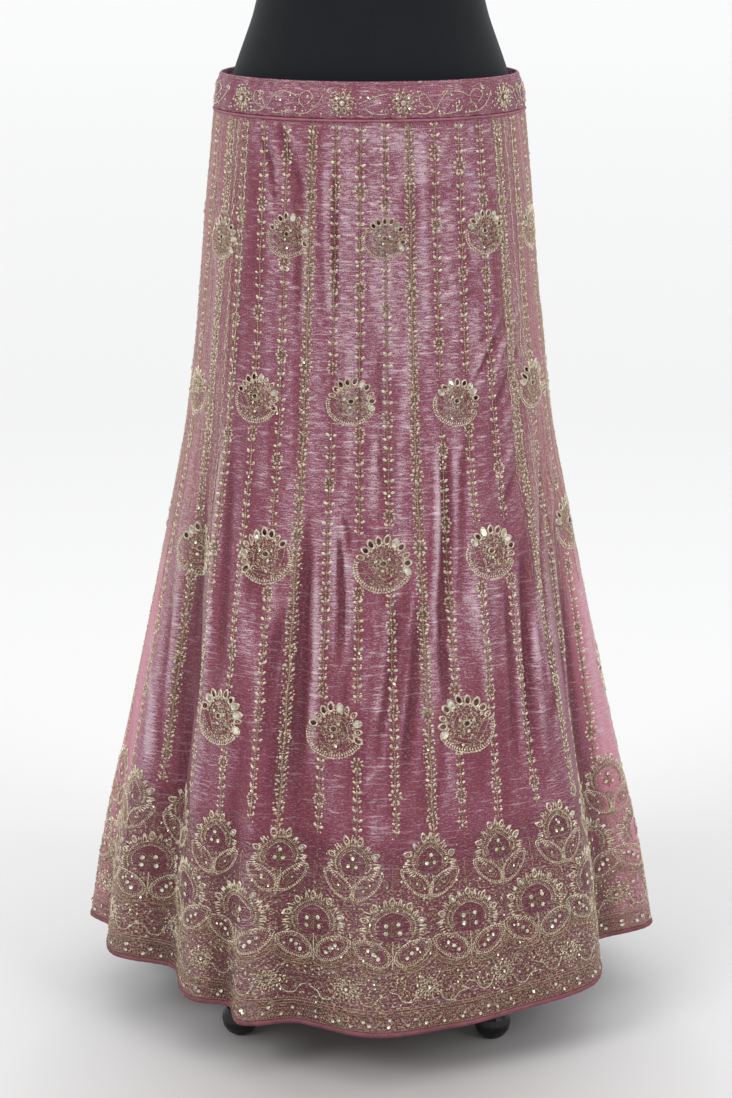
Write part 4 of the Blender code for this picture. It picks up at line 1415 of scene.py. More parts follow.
def lens_edge(m, x0, y0, x1, y1, wide, shape="link"):
    for side in (-1, 1):
        pts = []
        for p in np.linspace(0, 1, 7):
            w = side * 2.2 * wide * p * (1 - p)
            long = math.hypot(x1 - x0, y1 - y0)
            c, n = (x1 - x0) / long, (y1 - y0) / long
            pts.append((x0 + (x1 - x0) * p - w * n, y0 + (y1 - y0) * p + w * c))
        m.line(pts, 1.4, 1.0, 2.2, shape, 0.25)


def lotus(seed):
    """Round lotus: mirror petals fan over the top, a beaded crescent closes
    the left side and the foot, and leaf-shaped openings break its filling."""
    m = Motif(seed)
    q = m.rng
    n = 10
    for k in range(n):
        a = math.radians(-156 + 184 * k / (n - 1) + q.uniform(-2.5, 2.5))
        r = 21.5 + q.uniform(-0.8, 0.8)
        u, d = 2.5 + r * math.cos(a), -2.0 + r * math.sin(a) * 0.96
        turn = a + q.uniform(-0.3, 0.3)
        if q.random() < 0.74:
            # pieces on the left show the painted dark reflection more often
            mirror_petal(m, u, d, turn, 8.5 + q.uniform(-0.7, 0.9), 6.5, q.random() < (0.75 if k < 5 else 0.3))
        else:
            m.add("loop", u, d, turn, 3.8, 4.6, 1.2)
            m.add("bead", u, d, 0, 2.0, 2.0, 1.0)
        for e in (-1, 1):
            b = a + e * math.radians(7.5)
            m.add("wire", 2.5 + 16.6 * math.cos(b), -2.0 + 16.0 * math.sin(b), b + q.uniform(-0.2, 0.2), 3.8, 1.5, 1.0)
        m.add("bead", 2.5 + 18.6 * math.cos(a + 0.17), -2.0 + 18.0 * math.sin(a + 0.17), 0, 2.2, 2.2, 1.2)
    # crescent of two beaded rows
    m.line(arc(1.0, 0.5, 26.4, 22.9, 204, 18, 15), 2.2, 1.1, 2.6, "bead", 0.35)
    a = np.radians(np.arange(20.0, 204.0, 5.8))
    m.add("wire", 1.0 + 23.9 * np.cos(a), 0.5 + 20.5 * np.sin(a), a + q.normal(0, 0.2, len(a)), 4.0 * q.uniform(0.75, 1.15, len(a)), 1.7,
          q.uniform(0.9, 1.2, len(a)))
    openings = ((-19.5, -11.0, -6.0, 15.0, 5.0), (8.6, -11.0, 13.4, 6.0, 3.6), (-6.0, 16.0, 17.0, 10.0, 3.6))
    for x0, y0, x1, y1, wide in openings:
        lens_edge(m, x0, y0, x1, y1, wide)
    m.line(arc(2.5, -2.0, 14.0, 13.0, -188, 6, 11), 1.5, 1.0, 2.4, "link", 0.35)
    # beaded filling between the openings
    x, y = q.uniform(-21, 23, 480), q.uniform(-16, 21, 480)
    keep = (((x - 1.0) / 22.5) ** 2 + ((y - 0.5) / 19.5) ** 2 < 1.0) & (((x - 2.5) / 14.0) ** 2 + ((y + 2.0) / 13.0) ** 2 < 1.0) | (
        (((x - 1.0) / 22.5) ** 2 + ((y - 0.5) / 19.5) ** 2 < 1.0) & (y > 6.0))
    for x0, y0, x1, y1, wide in openings:
        keep &= ~in_lens(x, y, x0, y0, x1, y1, wide)
    x, y = x[keep], y[keep]
    which = q.random(len(x)) < 0.45
    m.add("bead", x[which], y[which], q.uniform(0, 3, which.sum()), 2.1, 1.8, 1.1)
    m.add("link", x[~which], y[~which], q.uniform(0, 3, (~which).sum()), 2.4, 1.4, 1.0)
    cx, cy = 0.5 + q.uniform(-1, 1), -3.0 + q.uniform(-1, 1)
    m.add("stone", cx, cy, 0, 2.8, 2.4, 1.0, q.uniform(-0.2, 0.2), q.uniform(-0.2, 0.2))
    m.add("stone_rim", cx, cy, 0, 2.8, 2.4, 1.1)
    for k in range(3):
        b = math.radians(-160 + 130 * k + q.uniform(-20, 20))
        sequin(m, cx + 7.2 * math.cos(b), cy + 6.4 * math.sin(b), 1.5)
    sequin(m, q.uniform(-8, 12), q.uniform(12, 17), 1.4)
    return m.done()


def lobe(m, s, cx, cy, rx, ry, tilt, lines, seqs, fill):
    """Paisley leaf beside the foot of a border motif."""
    tilt *= s
    for f, shape in lines:
        pts = []
        for a in np.linspace(0, 2 * math.pi, 15):
            point = 1.0 + 0.22 * max(0.0, math.cos(a)) ** 6
            x, y = rx * f * point * math.cos(a) * s, ry * f * math.sin(a)
            pts.append((cx * s + x * math.cos(tilt) - y * math.sin(tilt), cy + x * math.sin(tilt) + y * math.cos(tilt)))
        if shape == "wire":
            ends = np.diff(np.array(through(np.array(pts), 3)), axis=0)
            mid = np.array(through(np.array(pts), 3))[:-1]
            turn = np.arctan2(ends[:, 1], ends[:, 0]) + 1.57 + m.rng.normal(0, 0.25, len(mid))
            m.add("wire", mid[:, 0], mid[:, 1], turn, 2.6 * m.rng.uniform(0.7, 1.15, len(mid)), 1.5,
                  m.rng.uniform(0.8, 1.2, len(mid)))
        else:
            m.line(pts, 2.0 if shape == "bead" else 1.4, 1.0, 2.5 if shape == "bead" else 2.3, shape, 0.35)
    for k, (x, y, r) in enumerate(seqs):
        x *= s
        sequin(m, cx * s + x * math.cos(tilt) - y * math.sin(tilt), cy + x * math.sin(tilt) + y * math.cos(tilt), r)
    m.scatter(fill, cx * s, cy, rx * 0.52, ry * 0.52, tilt)


def border_motif(seed, low):
    """Border motif: a pointed arch edged with stitches and open loops, a few
    sequins inside it, and two paisley leaves that open from its foot."""
    m = Motif(seed)
    q = m.rng
    w, up, down, cy = (21.0, 17.5, 16.0, -13.0) if low else (15.5, 15.0, 12.0, -12.0)
    far = 1.86 if low else 1.78
    sharp = 0.10 + 0.02 * (seed % 3) if low else 0.25 + 0.06 * (seed % 3)

    def egg(a, f):
        x, y = math.cos(a), math.sin(a)
        g = 1.0 + (f - 1.0) * (15.0 / w)
        return (w * g * x * (1.0 - sharp * max(0.0, -y) ** 2.3), cy + (up if y < 0 else down) * g * y - 3.0 * sharp * max(0.0, -y) ** 6)
    for f, shape in ((1.08, "link"), (1.24, "leaf"), (1.40, "link")):
        m.hatch(egg, -208, 28, 6.0, f, 2.6, 1.5, shape)
    m.line([egg(math.radians(a), 0.95) for a in range(-208, 29, 12)], 1.5, 1.0, 2.7, "bead", 0.3)
    n = 11 if low else 9
    for k in range(n):
        a = math.radians(-184 + 188 * k / (n - 1) + q.uniform(-3, 3))
        x, y = egg(a, far + q.uniform(-0.05, 0.05))
        x0, y0 = egg(a, far - 0.4)
        turn = math.atan2(y - y0, x - x0)
        ring = q.random()
        turn += q.uniform(-0.18, 0.18)
        if k % 2:
            m.add("loop", x, y, turn, 5.0 * q.uniform(0.8, 1.1), 6.0 * q.uniform(0.8, 1.1), 1.3)
        else:
            for e in (-1, 1):
                m.add("leaf", x - 5.0 * math.cos(turn) - e * 2.1 * math.sin(turn), y - 5.0 * math.sin(turn) + e * 2.1 * math.cos(turn),
                      turn - e * q.uniform(0.05, 0.25), 9.6 * q.uniform(0.8, 1.1), 2.0, 1.2)
        if ring < 0.26:
            m.add("light", x, y, turn, 2.2, 2.6, 0.9, q.uniform(-0.2, 0.2), q.uniform(-0.2, 0.2))
        elif ring < 0.36:
            m.add("dark", x, y, turn, 2.2, 2.6, 0.9, q.uniform(-0.2, 0.2), q.uniform(-0.2, 0.2))
        else:
            m.add("bead", x, y, 0, 2.3, 2.3, 1.0)
        x2, y2 = egg(a + math.radians(9), far - 0.26)
        m.add("leaf", x2, y2, turn + 0.2, 4.4, 1.8, 0.9)
        x2, y2 = egg(a - math.radians(8), far - 0.30)
        m.add("olive", x2, y2, turn - 0.2, 4.0, 1.5, 0.9)
    for s in (-1, 1):
        for k in range(7):
            a = math.radians(8 + 7.0 * k)
            x, y = egg(a, far - 0.12 + 0.05 * (k % 2))
            m.add("leaf", s * x, y, (a * 0.6 if s > 0 else math.pi - a * 0.6), 5.0, 1.9, 0.95)
    # sequins inside, each in a ring of stitches, round a small sprig
    spots = ((-7.0, -16.0), (6.6, -17.4), (-7.6, -7.2), (7.4, -6.4)) if low else ((0.3, -18.6), (-4.4, -9.2), (4.6, -9.8))
    for u, d in spots:
        u, d = u + q.uniform(-0.7, 0.7), d + q.uniform(-0.7, 0.7)
        sequin(m, u, d, 2.5 if low else 2.2)
        a = np.linspace(0, 2 * math.pi, 8)[:-1]
        m.add("link", u + 3.6 * np.cos(a), d + 3.6 * np.sin(a), a + 1.57, 2.4, 1.2, 0.8)
    m.scatter(40 if low else 20, 0.0, cy + 1.0, 9.0 if low else 6.0, 9.0 if low else 7.5)
    m.line([(0.0, cy - 7), (0.3, cy), (0.0, cy + 11)], 1.4, 0.9, 2.2, "olive")
    if low:
        m.line([(0.0, 1.0), (0.0, 14.0), (0.0, 33.0)], 1.7, 1.0, 2.1, "leaf")
        for s in (-1, 1):
            lobe(m, s, 21.5, 17.0, 20.0, 11.8, -0.48, ((1.06, "bead"), (0.92, "wire"), (0.74, "link")),
                 ((-7.0, 1.6, 2.3), (0.0, -0.8, 2.3), (7.4, -1.8, 2.0)), 16)
            for f, shape in ((1.22, "link"), (1.42, "olive"), (1.60, "link")):
                m.line(arc(22.5 * s, 17.5, 18.5 * f, 12.5 * f, 10 if s > 0 else 24, 156 if s > 0 else 170, 9, -0.40 * s), 1.6, 0.9, 2.1, shape)
            m.line([(2.0 * s, 6.0), (6.0 * s, 14.0), (8.0 * s, 24.0), (4.0 * s, 34.0)], 1.4, 0.9, 2.2)
    else:
        for s in (-1, 1):
            lobe(m, s, 15.0, 13.0, 19.5, 9.4, -0.72, ((1.04, "bead"), (0.90, "wire"), (0.52, "link")), ((1.0, 0.0, 1.3),), 24)
            m.line([(2.4 * s, 3.0), (3.6 * s, 12.0), (2.2 * s, 22.0), (0.0, 31.0)], 1.4, 1.0, 2.0, "wire" if s > 0 else "link")
            m.line([(26.0 * s, 12.0), (18.0 * s, 24.0), (6.0 * s, 30.0), (0.0, 31.5)], 1.4, 0.9, 2.1)
        m.scatter(16, 0.0, 26.0, 5.0, 6.0)
        m.line([(0.0, 6.0), (0.0, 20.0), (0.0, 34.0)], 1.3, 0.9, 2.2)
    m.scatter(26 if low else 8, 0.0, 12.0, 36.0, 30.0, inner=0.72)
    if low:
        m.line([(0.3, -44.0), (0.0, -56.0), (-0.4, -68.0), (0.0, -80.0)], 1.2, 0.8, 2.3, "link", 0.2)
    for k in range(3):
        a = q.uniform(0, 6.28)
        sequin(m, 34 * math.cos(a), 4 + 26 * math.sin(a), 1.3)
    return m.done()


def curl(m, u, d, r, turn, hand, width=1.4, shape="olive"):
    a = np.linspace(0.0, 1.7 * math.pi, 12)
    rr = r * (1.0 - 0.13 * a)
    m.line([(u + x * math.cos(turn + hand * y), d + x * math.sin(turn + hand * y)) for x, y in zip(rr, a)],
           width, 0.9, 2.1, shape, 0.12)


def scroll_motif(seed, wide):
    """One repeat of the scrolling vine near the hem, with its rosette."""
    m = Motif(seed)
    q = m.rng
    h = wide / 2
    lacy_flower(m, 0, 0, 12.5)
    sequin(m, 0, 0, 1.9)
    for s in (-1, 1):
        m.line([(s * 12, 4), (s * 19, 15), (s * 29, 16), (s * 36, 8), (s * h, 5)], 1.7, 1.1, 2.2, "leaf", 0.10)
        m.line([(s * 10, -8), (s * 17, -17), (s * 27, -16), (s * 34, -8), (s * h, -6)], 1.6, 1.1, 2.2, "link", 0.10)
        m.line([(s * 8, -13), (s * 20, -20), (s * 33, -21), (s * h, -19)], 1.3, 0.9, 2.3, "link", 0.15)
        curl(m, s * 23, -5.0, 7.0, 0.5 if s > 0 else 2.6, s)
        curl(m, s * 33, 3.0, 6.0, 0.4 if s > 0 else 2.7, -s, 1.4, "link")
        curl(m, s * 17, 12.0, 5.0, 0.4, -s)
        curl(m, s * 37, -14.0, 5.0, 2.4, s, 1.4, "link")
        curl(m, s * 29, 15.0, 4.6, 1.4, s)
        for k in range(12):
            m.add("leaf", s * q.uniform(12, h), q.uniform(-20, 19), q.uniform(0, 6.2), 3.6, 2.1, 0.95)
    for k in range(7):
        sequin(m, q.uniform(-h, h), q.uniform(-19, 19), 1.25, 0.3)
    return m.done()


def lacy_flower(m, u, d, r):
    """Large flower of open loops between two rings of beads."""
    q = m.rng
    for n, share, size in ((15, 0.98, 2.3), (13, 0.74, 2.0), (8, 0.42, 2.1)):
        a = 2 * math.pi * np.arange(n) / n + q.uniform(0, 1) + q.normal(0, 0.06, n)
        rr = r * share * (1.0 + q.normal(0, 0.04, n))
        m.add("leaf", u + rr * np.cos(a), d + rr * np.sin(a), a + q.normal(0, 0.5, n), size * 1.25, size * 0.9, 1.2)
    a = 2 * math.pi * np.arange(9) / 9 + q.uniform(0, 1)
    m.add("loop", u + 0.62 * r * np.cos(a), d + 0.62 * r * np.sin(a), a, 0.27 * r, 0.30 * r, 1.2)
    m.add("olive", u + 0.86 * r * np.cos(a + 0.35), d + 0.86 * r * np.sin(a + 0.35), a + 0.35, 3.0, 1.4, 1.0)
    m.scatter(26, u, d, r * 0.95, r * 0.95, inner=0.3)


def vine_flower(seed, r):
    m = Motif(seed)
    rosette(m, 0, 0, r, 8, 0.66, 1.3)
    a = 2 * math.pi * np.arange(8) / 8
    m.add("bead", 0.96 * r * np.cos(a), 0.96 * r * np.sin(a), 0, 0.46 * r, 0.46 * r, 1.1)
    return m.done()


lotuses = Stitches(sample)
cloth = Stitches(sample)

LOTUS_SET = [lotus(s) for s in (3, 5, 8, 13, 21)]
for k, (t, z, turn) in enumerate(LOTUS):
    grown = float(np.interp(z, (0.42, 0.62, 0.76, 0.94), (1.24, 1.20, 1.04, 0.94)))
    lotuses.stamp(LOTUS_SET[k % 5], t, z, turn, grown + 0.03 * math.sin(k * 2.3), 1.0 if k % 6 != 5 else -1.0)


def clear_of_lotus(t, z, pad=0.026):
    ok = np.ones(np.shape(z), bool)
    for a, b, _ in LOTUS:
        r = float(ring_scale(a, b))
        du = ((t - a + math.pi) % (2 * math.pi) - math.pi) * r
        grown = float(np.interp(b, (0.42, 0.62, 0.76, 0.94), (1.24, 1.20, 1.04, 0.94)))
        ok &= (np.abs(du) > pad * grown) | (z - b > 0.028 * grown) | (z - b < -0.024 * grown)
    return ok


# -------------------------------------------------------------------- vines
FLOWERS = [vine_flower(s, r) for s, r in ((1, 6.6), (2, 6.2), (3, 7.0), (4, 6.4))]


def vine_line(index, seam):
    w, h, _ = VINES[index]
    t_low = math.radians(h)
    end = float(hem_height(t_low)) + 0.222 + rng.uniform(-0.006, 0.008)
    z = np.arange(Z_SEAM - 0.0015, end, -0.0025)
    t = vine_t(index, z)
    keep = clear_of_lotus(t, z)
    z, t = z[keep], t[keep]
    r = ring_scale(t, z)
    # the stem
    sway = 0.0006 * np.sin(z * 95.0 + index) / r
    cloth.add("link", t + sway, z, 0, 0, math.pi / 2 + rng.normal(0, 0.20, len(z)), 0.0032,
              0.0018 * (1.35 if seam else 1.0), 0.0010)
    zs = Z_SEAM - 0.005 - rng.uniform(0, 0.006)
    next_flower = zs - rng.uniform(0.02, 0.09)
    while zs > end:
        tz = float(vine_t(index, zs))
        low = smooth(np.array((0.78 - zs) / 0.25))
        pitch = (0.0062 if seam else 0.0132 - 0.0028 * float(low)) * rng.uniform(0.92, 1.08)
        if clear_of_lotus(np.array(tz), np.array(zs), 0.023):
            if zs < next_flower:
                cloth.stamp(FLOWERS[int(rng.integers(4))], tz, zs, rng.uniform(0, 1), rng.uniform(0.92, 1.1))
                next_flower = zs - rng.uniform(0.070, 0.125)
                zs -= 0.011
                continue
            reach = 0.0047 if seam else 0.0043
            for sgn in (-1, 1):
                # a round head on a short stalk
                up = rng.uniform(0.35, 1.05)
                turn = -up if sgn > 0 else math.pi + up
                size = rng.uniform(0.0044, 0.0060) * (0.80 if seam else 1.0)
                if seam:
                    turn += rng.normal(0, 0.5)
                    size *= rng.uniform(0.7, 1.2)
                cloth.add("leaf", tz, zs, sgn * (reach - 0.0030) + rng.normal(0, 0.0004), -0.0004 + rng.normal(0, 0.0006),
                          turn, size, size * 0.62, 0.0012)
                cloth.add("link", tz, zs, sgn * 0.0014, 0.0006, turn, 0.0030, 0.0013, 0.0009)
                if seam:
                    cloth.add("bead", tz, zs, sgn * (0.0052 + rng.uniform(-0.0014, 0.0014)), 0.0030 + rng.uniform(-0.002, 0.002), 0,
                              rng.uniform(0.0022, 0.0034), 0.0026, 0.0012)
                    cloth.add("olive", tz, zs, sgn * rng.uniform(0.001, 0.0056), rng.uniform(-0.003, 0.003),
                              rng.uniform(0, 3.1), 0.0026, 0.0014, 0.0009)
                elif rng.random() < 0.45 + 0.35 * float(low):
                    cloth.add("bead", tz, zs, sgn * (0.0034 + rng.uniform(-0.0008, 0.0012)), 0.0048, 0, 0.0026, 0.0026, 0.0011)
            if not seam:
                cloth.add("bead", tz, zs, 0.0, -0.0022, 0, 0.0024, 0.0026, 0.0012)
            if rng.random() < 0.06:
                cloth.add("disc", tz, zs, rng.uniform(-0.003, 0.003), 0.002, 0, 0.0015, 0.0015, 0.0015,
                          rng.uniform(-0.3, 0.3), rng.uniform(-0.3, 0.3))
        zs -= pitch


for i, (w, h, seam) in enumerate(VINES):
    vine_line(i, seam)
# single rows of chain stitch between the vines at both sides
for at in (-92.0, -86.5, -81.0, -76.0, -71.0, -66.5, 66.0, 70.5, 75.0, 80.0, 85.5, 92.0):
    z = np.arange(Z_SEAM - 0.004, 0.50 + rng.uniform(0.0, 0.12), -0.0027)
    t = np.radians(at + 0.8 * np.sin(z * 9.0 + at))
    keep = clear_of_lotus(t, z)
    z, t = z[keep], t[keep]
    cloth.add("link", t, z, rng.normal(0, 0.0003, len(z)), 0, math.pi / 2 + rng.normal(0, 0.3, len(z)), 0.0032, 0.0018, 0.0010)
for at in (-62.0, -58.0, -54.0, -50.0, 50.5, 54.5, 58.5, 62.0):
    z = np.arange(Z_SEAM - 0.004, 0.62 + rng.uniform(0.0, 0.10), -0.0026)
    t = np.radians(at + 0.9 * np.sin(z * 8.0 + at) + 0.35 * np.sin(z * 420.0))
    keep = clear_of_lotus(t, z)
    z, t = z[keep], t[keep]
    cloth.add("wire", t, z, rng.normal(0, 0.0004, len(z)), 0, math.pi / 2 + rng.normal(0, 0.5, len(z)), 0.0030, 0.0016, 0.0010)
lotus_piece = lotuses.build("embroidery_lotus")
vines_piece = cloth.build("embroidery_vines")

# ------------------------------------------------------------------- border
border = Stitches(sample)
UPPER = [border_motif(s, False) for s in (21, 22, 23)]
LOWER = [border_motif(s, True) for s in (31, 32, 33)]
for k in range(N_ARCH):
    t = math.radians(UPPER_AT + 360.0 / N_ARCH * k)
    t = (t - T[0]) % (2 * math.pi) + T[0]
    s = float(ring_scale(t, 0.25)) / 0.290
    border.stamp(UPPER[k % 3], t, float(hem_height(t)) + UPPER_UP, rng.uniform(-0.04, 0.04), 1.0)
    t2 = math.radians(LOWER_AT + 360.0 / N_ARCH * k)
    t2 = (t2 - T[0]) % (2 * math.pi) + T[0]
    border.stamp(LOWER[(k * 2) % 3], t2, float(hem_height(t2)) + LOWER_UP, rng.uniform(-0.03, 0.03), 1.0)
border_piece = border.build("embroidery_border")

scroll = Stitches(sample)
SCROLLS = [scroll_motif(s, 88.0) for s in (41, 42, 43)]
for k in range(N_ARCH):
    t = math.radians(-4.5 + 360.0 / N_ARCH * k)
    t = (t - T[0]) % (2 * math.pi) + T[0]
    scroll.stamp(SCROLLS[k % 3], t, float(hem_height(t)) + 0.052, rng.uniform(-0.1, 0.1), 1.0, 1.0 if k % 2 else -1.0)


def ring_of(shape, height, pitch, length, width, raise_by, turn=0.0, jitter=0.0, tilt=0.0):
    """Evenly spaced stamps all round, at a height above the hem."""
    tt = np.radians(np.linspace(-112.0, 248.0, 4000))
    p = surface(tt, hem_height(tt) + height)
    run = np.concatenate(([0.0], np.cumsum(np.linalg.norm(np.diff(p, axis=0), axis=1))))
    n = int(run[-1] / pitch)
    s = (np.arange(n) + 0.5) * run[-1] / n
    t = np.interp(s, run, tt)
    q = np.random.default_rng(int(height * 1e6) + n)
    j = q.normal(0, 1, (4, n))
    z = hem_height(t) + height + jitter * j[0]
    scroll.add(shape, t, z, 0, 0, turn + 0.25 * j[1] * (jitter > 0), length, width, raise_by, tilt * j[2], tilt * j[3])


for hgt in (0.0270, 0.0300):
    ring_of("link", hgt, 0.0026, 0.0032, 0.0015, 0.0009)
for hgt in (0.0064, 0.0236):
    ring_of("olive", hgt, 0.0025, 0.0032, 0.0018, 0.0012)
for k, hgt in enumerate((0.0086, 0.0112, 0.0146, 0.0180, 0.0212)):
    ring_of("link" if k % 2 else "olive", hgt, 0.0036, 0.0034, 0.0017, 0.0010, turn=(0.8 if k % 2 else -0.8), jitter=0.0009)
ring_of("disc", 0.0126, 0.0215, 0.0019, 0.0019, 0.0018, jitter=0.0014, tilt=0.2)
ring_of("disc", 0.0178, 0.0290, 0.0021, 0.0021, 0.0018, jitter=0.0014, tilt=0.2)
scroll_piece = scroll.build("embroidery_scroll_and_hem_band")

# small filling stitches between the motifs of the border
fill = Stitches(sample)
q = np.random.default_rng(77)
count = 40000
ft = np.radians(q.uniform(-112.0, 248.0, count))
fh = q.uniform(0.030, 0.212, count)
# they keep out of the arches, whose cloth shows
keep = q.random(count) < np.interp(fh, (0.03, 0.075, 0.10, 0.15, 0.210), (0.50, 0.52, 0.46, 0.30, 0.03))
for offset, height, wide, tall in ((UPPER_AT, UPPER_UP + 0.012, 0.0155, 0.0142), (LOWER_AT, LOWER_UP + 0.013, 0.0210, 0.0172)):
    pitch = 2 * math.pi / N_ARCH
    du = ((ft - math.radians(offset) + pitch / 2) % pitch - pitch / 2) * ring_scale(ft, 0.25)
    keep &= (du / wide) ** 2 + ((fh - height) / tall) ** 2 > 1.0
ft, fh = ft[keep], fh[keep]
swirl = 2.6 * np.sin(ft * 61.0 + fh * 120.0) + 2.0 * np.sin(fh * 190.0 - ft * 33.0)
turn = swirl + q.normal(0, 0.35, len(ft))
pick = q.random(len(ft))
for shape, a, b in (("link", 0.0, 0.36), ("olive", 0.36, 0.80), ("bead", 0.80, 1.0)):
    m = (pick >= a) & (pick < b)
    fill.add(shape, ft[m], hem_height(ft[m]) + fh[m], 0, 0, turn[m], q.uniform(0.0022, 0.0034, m.sum()),
             q.uniform(0.0011, 0.0018, m.sum()), 0.0009)
m = q.random(len(ft)) < 0.030
fill.add("disc", ft[m], hem_height(ft[m]) + fh[m], 0.001, 0.001, 0, 0.0013, 0.0013, 0.0014,
         q.uniform(-0.3, 0.3, m.sum()), q.uniform(-0.3, 0.3, m.sum()))
fill_piece = fill.build("embroidery_border_filling")


# --------------------------------------------------------------- waistband
def band_sample(t, z, h):
    t = (t - T[0]) % (2 * math.pi) + T[0]
    p = surface(t, z)
    e = 0.004
    d = surface(t + e, z) - surface(t - e, z)
    nx, ny = d[:, 1], -d[:, 0]
    n = np.hypot(nx, ny)
    nx, ny = nx / n, ny / n
    s = np.sign(nx * np.sin(t) - ny * np.cos(t))
    o = 0.0016 + band_wave(t, z) + band_lean(t, z) + h
    p[:, 0] += nx * s * o
    p[:, 1] += ny * s * o
    return p


def band_rosette(m, u):
    lacy_flower(m, u, 0.0, 13.4)
    m.add("disc", u, 0, 0, 2.9, 2.9, 1.9, m.rng.uniform(-0.1, 0.1), m.rng.uniform(-0.1, 0.1))
    for b in (0.7, 2.3, 3.9, 5.5):
        sequin(m, u + 8.8 * math.cos(b), 8.4 * math.sin(b), 1.7, 0.16)


def band_scroll(m, a, b, flip):
    """Wire-thin scrolls between two rosettes, with beads and leaf heads."""
    q = m.rng
    g = b - a
    X = (lambda s: a + g * s) if not flip else (lambda s: b - g * s)
    if g > 60:
        m.line([(X(0.00), 11), (X(0.10), 12), (X(0.20), 8), (X(0.155), -2), (X(0.10), -9), (X(0.045), -8), (X(0.04), -1),
                (X(0.09), 4), (X(0.15), 4)], 1.7, 1.1, 1.5, "wire", 0.03)
        m.line([(X(0.22), 9), (X(0.27), 0), (X(0.34), -9), (X(0.44), -11), (X(0.55), -9), (X(0.62), -5)], 1.7, 1.1, 1.5, "wire", 0.03)
        m.line([(X(0.30), 13), (X(0.40), 12), (X(0.50), 10), (X(0.53), 5)], 1.5, 0.9, 1.6, "wire", 0.03)
        m.line([(X(0.60), 12), (X(0.74), 11), (X(0.86), 2), (X(0.93), -9)], 1.7, 1.1, 1.5, "wire", 0.03)
        m.line([(X(0.74), 2), (X(0.80), -6), (X(0.74), -12), (X(0.66), -9), (X(0.64), -1), (X(0.70), 5)], 1.7, 1.1, 1.5, "wire", 0.03)
        places = (0.03, 0.13, 0.28, 0.36, 0.46, 0.58, 0.67, 0.78, 0.90, 0.97)
    else:
        m.line([(X(0.05), -10), (X(0.4), -7), (X(0.9), 1)], 1.7, 1.1, 1.5, "wire", 0.03)
        m.line([(X(0.1), 12), (X(0.5), 11), (X(0.7), 5), (X(0.5), 2)], 1.5, 1.0, 1.6, "wire", 0.03)
        places = (0.2, 0.5, 0.8)
    for s in places:
        u, d = X(s) + q.uniform(-2, 2), q.choice((-1, 1)) * q.uniform(4, 12)
        for k in range(3):
            ang = q.uniform(0, 6.28)
            m.add("leaf", u + 1.4 * math.cos(ang), d + 1.4 * math.sin(ang), ang, 2.8, 2.1, 1.0)
        if q.random() < 0.5:
            m.add("loop", u + 3.0, d - 1.0, 0.4, 2.4, 3.6, 1.0)
        m.add("bead", u + q.uniform(-6, 6), q.uniform(-12, 12), 0, 2.1, 2.1, 1.1)
    for k in range(int(g / 26) + 1):
        sequin(m, X(q.uniform(0.05, 0.95)), q.uniform(-11, 11), 1.3, 0.2)


band = Stitches(band_sample)
# rosettes at x 242, 342, 403 and 505 in front; the back is finished alike
BAND_AT = [math.degrees(at_px(x, 118)[0]) for x in (242, 342, 403, 505)] + [100.0, 135.0, 158.0, 205.0, 228.0]
BAND_AT.append(BAND_AT[0] + 360.0)
for k in range(len(BAND_AT) - 1):
    ta, tb = math.radians(BAND_AT[k]), math.radians(BAND_AT[k + 1])
    tt = np.linspace(ta, tb, 60)
    p = surface(tt, np.full(60, 1.083))
    run = np.concatenate(([0.0], np.cumsum(np.linalg.norm(np.diff(p, axis=0), axis=1)))) * 1000.0
    m = Motif(60 + k)
    band_rosette(m, 0.0)
    band_scroll(m, 14.0, run[-1] - 14.0, k % 2 == 1)
    for shape, r in m.done().items():
        u = r[:, 0] * 1000.0
        t = np.where(u < 0, ta + (u / 1000.0) / float(ring_scale(ta, 1.083)), np.interp(u, run, tt))
        band.add(shape, t, 1.0815 - r[:, 1], 0, 0, r[:, 2], r[:, 3], r[:, 4], r[:, 5], r[:, 6], r[:, 7])
# a line of stitching holds the band's top edge
tt = np.radians(np.arange(-112.0, 248.0, 0.85))
band.add("link", tt, band_top(tt) - 0.0030, 0, 0, 0, 0.0022, 0.0008, 0.0004)
band_piece = band.build("embroidery_waistband")


# =====================================================================
# Dress form
# =====================================================================
TORSO = np.array((
    (0.7400, 0.1130, 0.0800, 0.004),
    (0.7420, 0.1180, 0.0850, 0.004),
    (0.7520, 0.1240, 0.0905, 0.004),
    (0.8200, 0.1440, 0.1040, 0.004),
    (0.9000, 0.1600, 0.1150, 0.003),
    (0.9800, 0.1670, 0.1205, 0.000),
    (1.0400, 0.1665, 0.1180, 0.000),
    (1.0900, 0.1580, 0.1100, -0.001),
    (1.1350, 0.1428, 0.0990, -0.002),
    (1.1800, 0.1275, 0.0905, -0.003),
    (1.2050, 0.1240, 0.0890, -0.004),
    (1.2400, 0.1275, 0.0925, -0.007),
    (1.3000, 0.1420, 0.1060, -0.013),
    (1.3600, 0.1560, 0.1180, -0.017),
    (1.4200, 0.1640, 0.1150, -0.012),
    (1.4700, 0.1700, 0.1000, -0.004),
    (1.5100, 0.1690, 0.0850, 0.004),
    (1.5350, 0.1520, 0.0720, 0.009),
    (1.5520, 0.1180, 0.0620, 0.012),
    (1.5680, 0.0820, 0.0560, 0.014),
    (1.5850, 0.0640, 0.0540, 0.014),
    (1.6200, 0.0560, 0.0530, 0.012),
    (1.6500, 0.0550, 0.0530, 0.011),
))


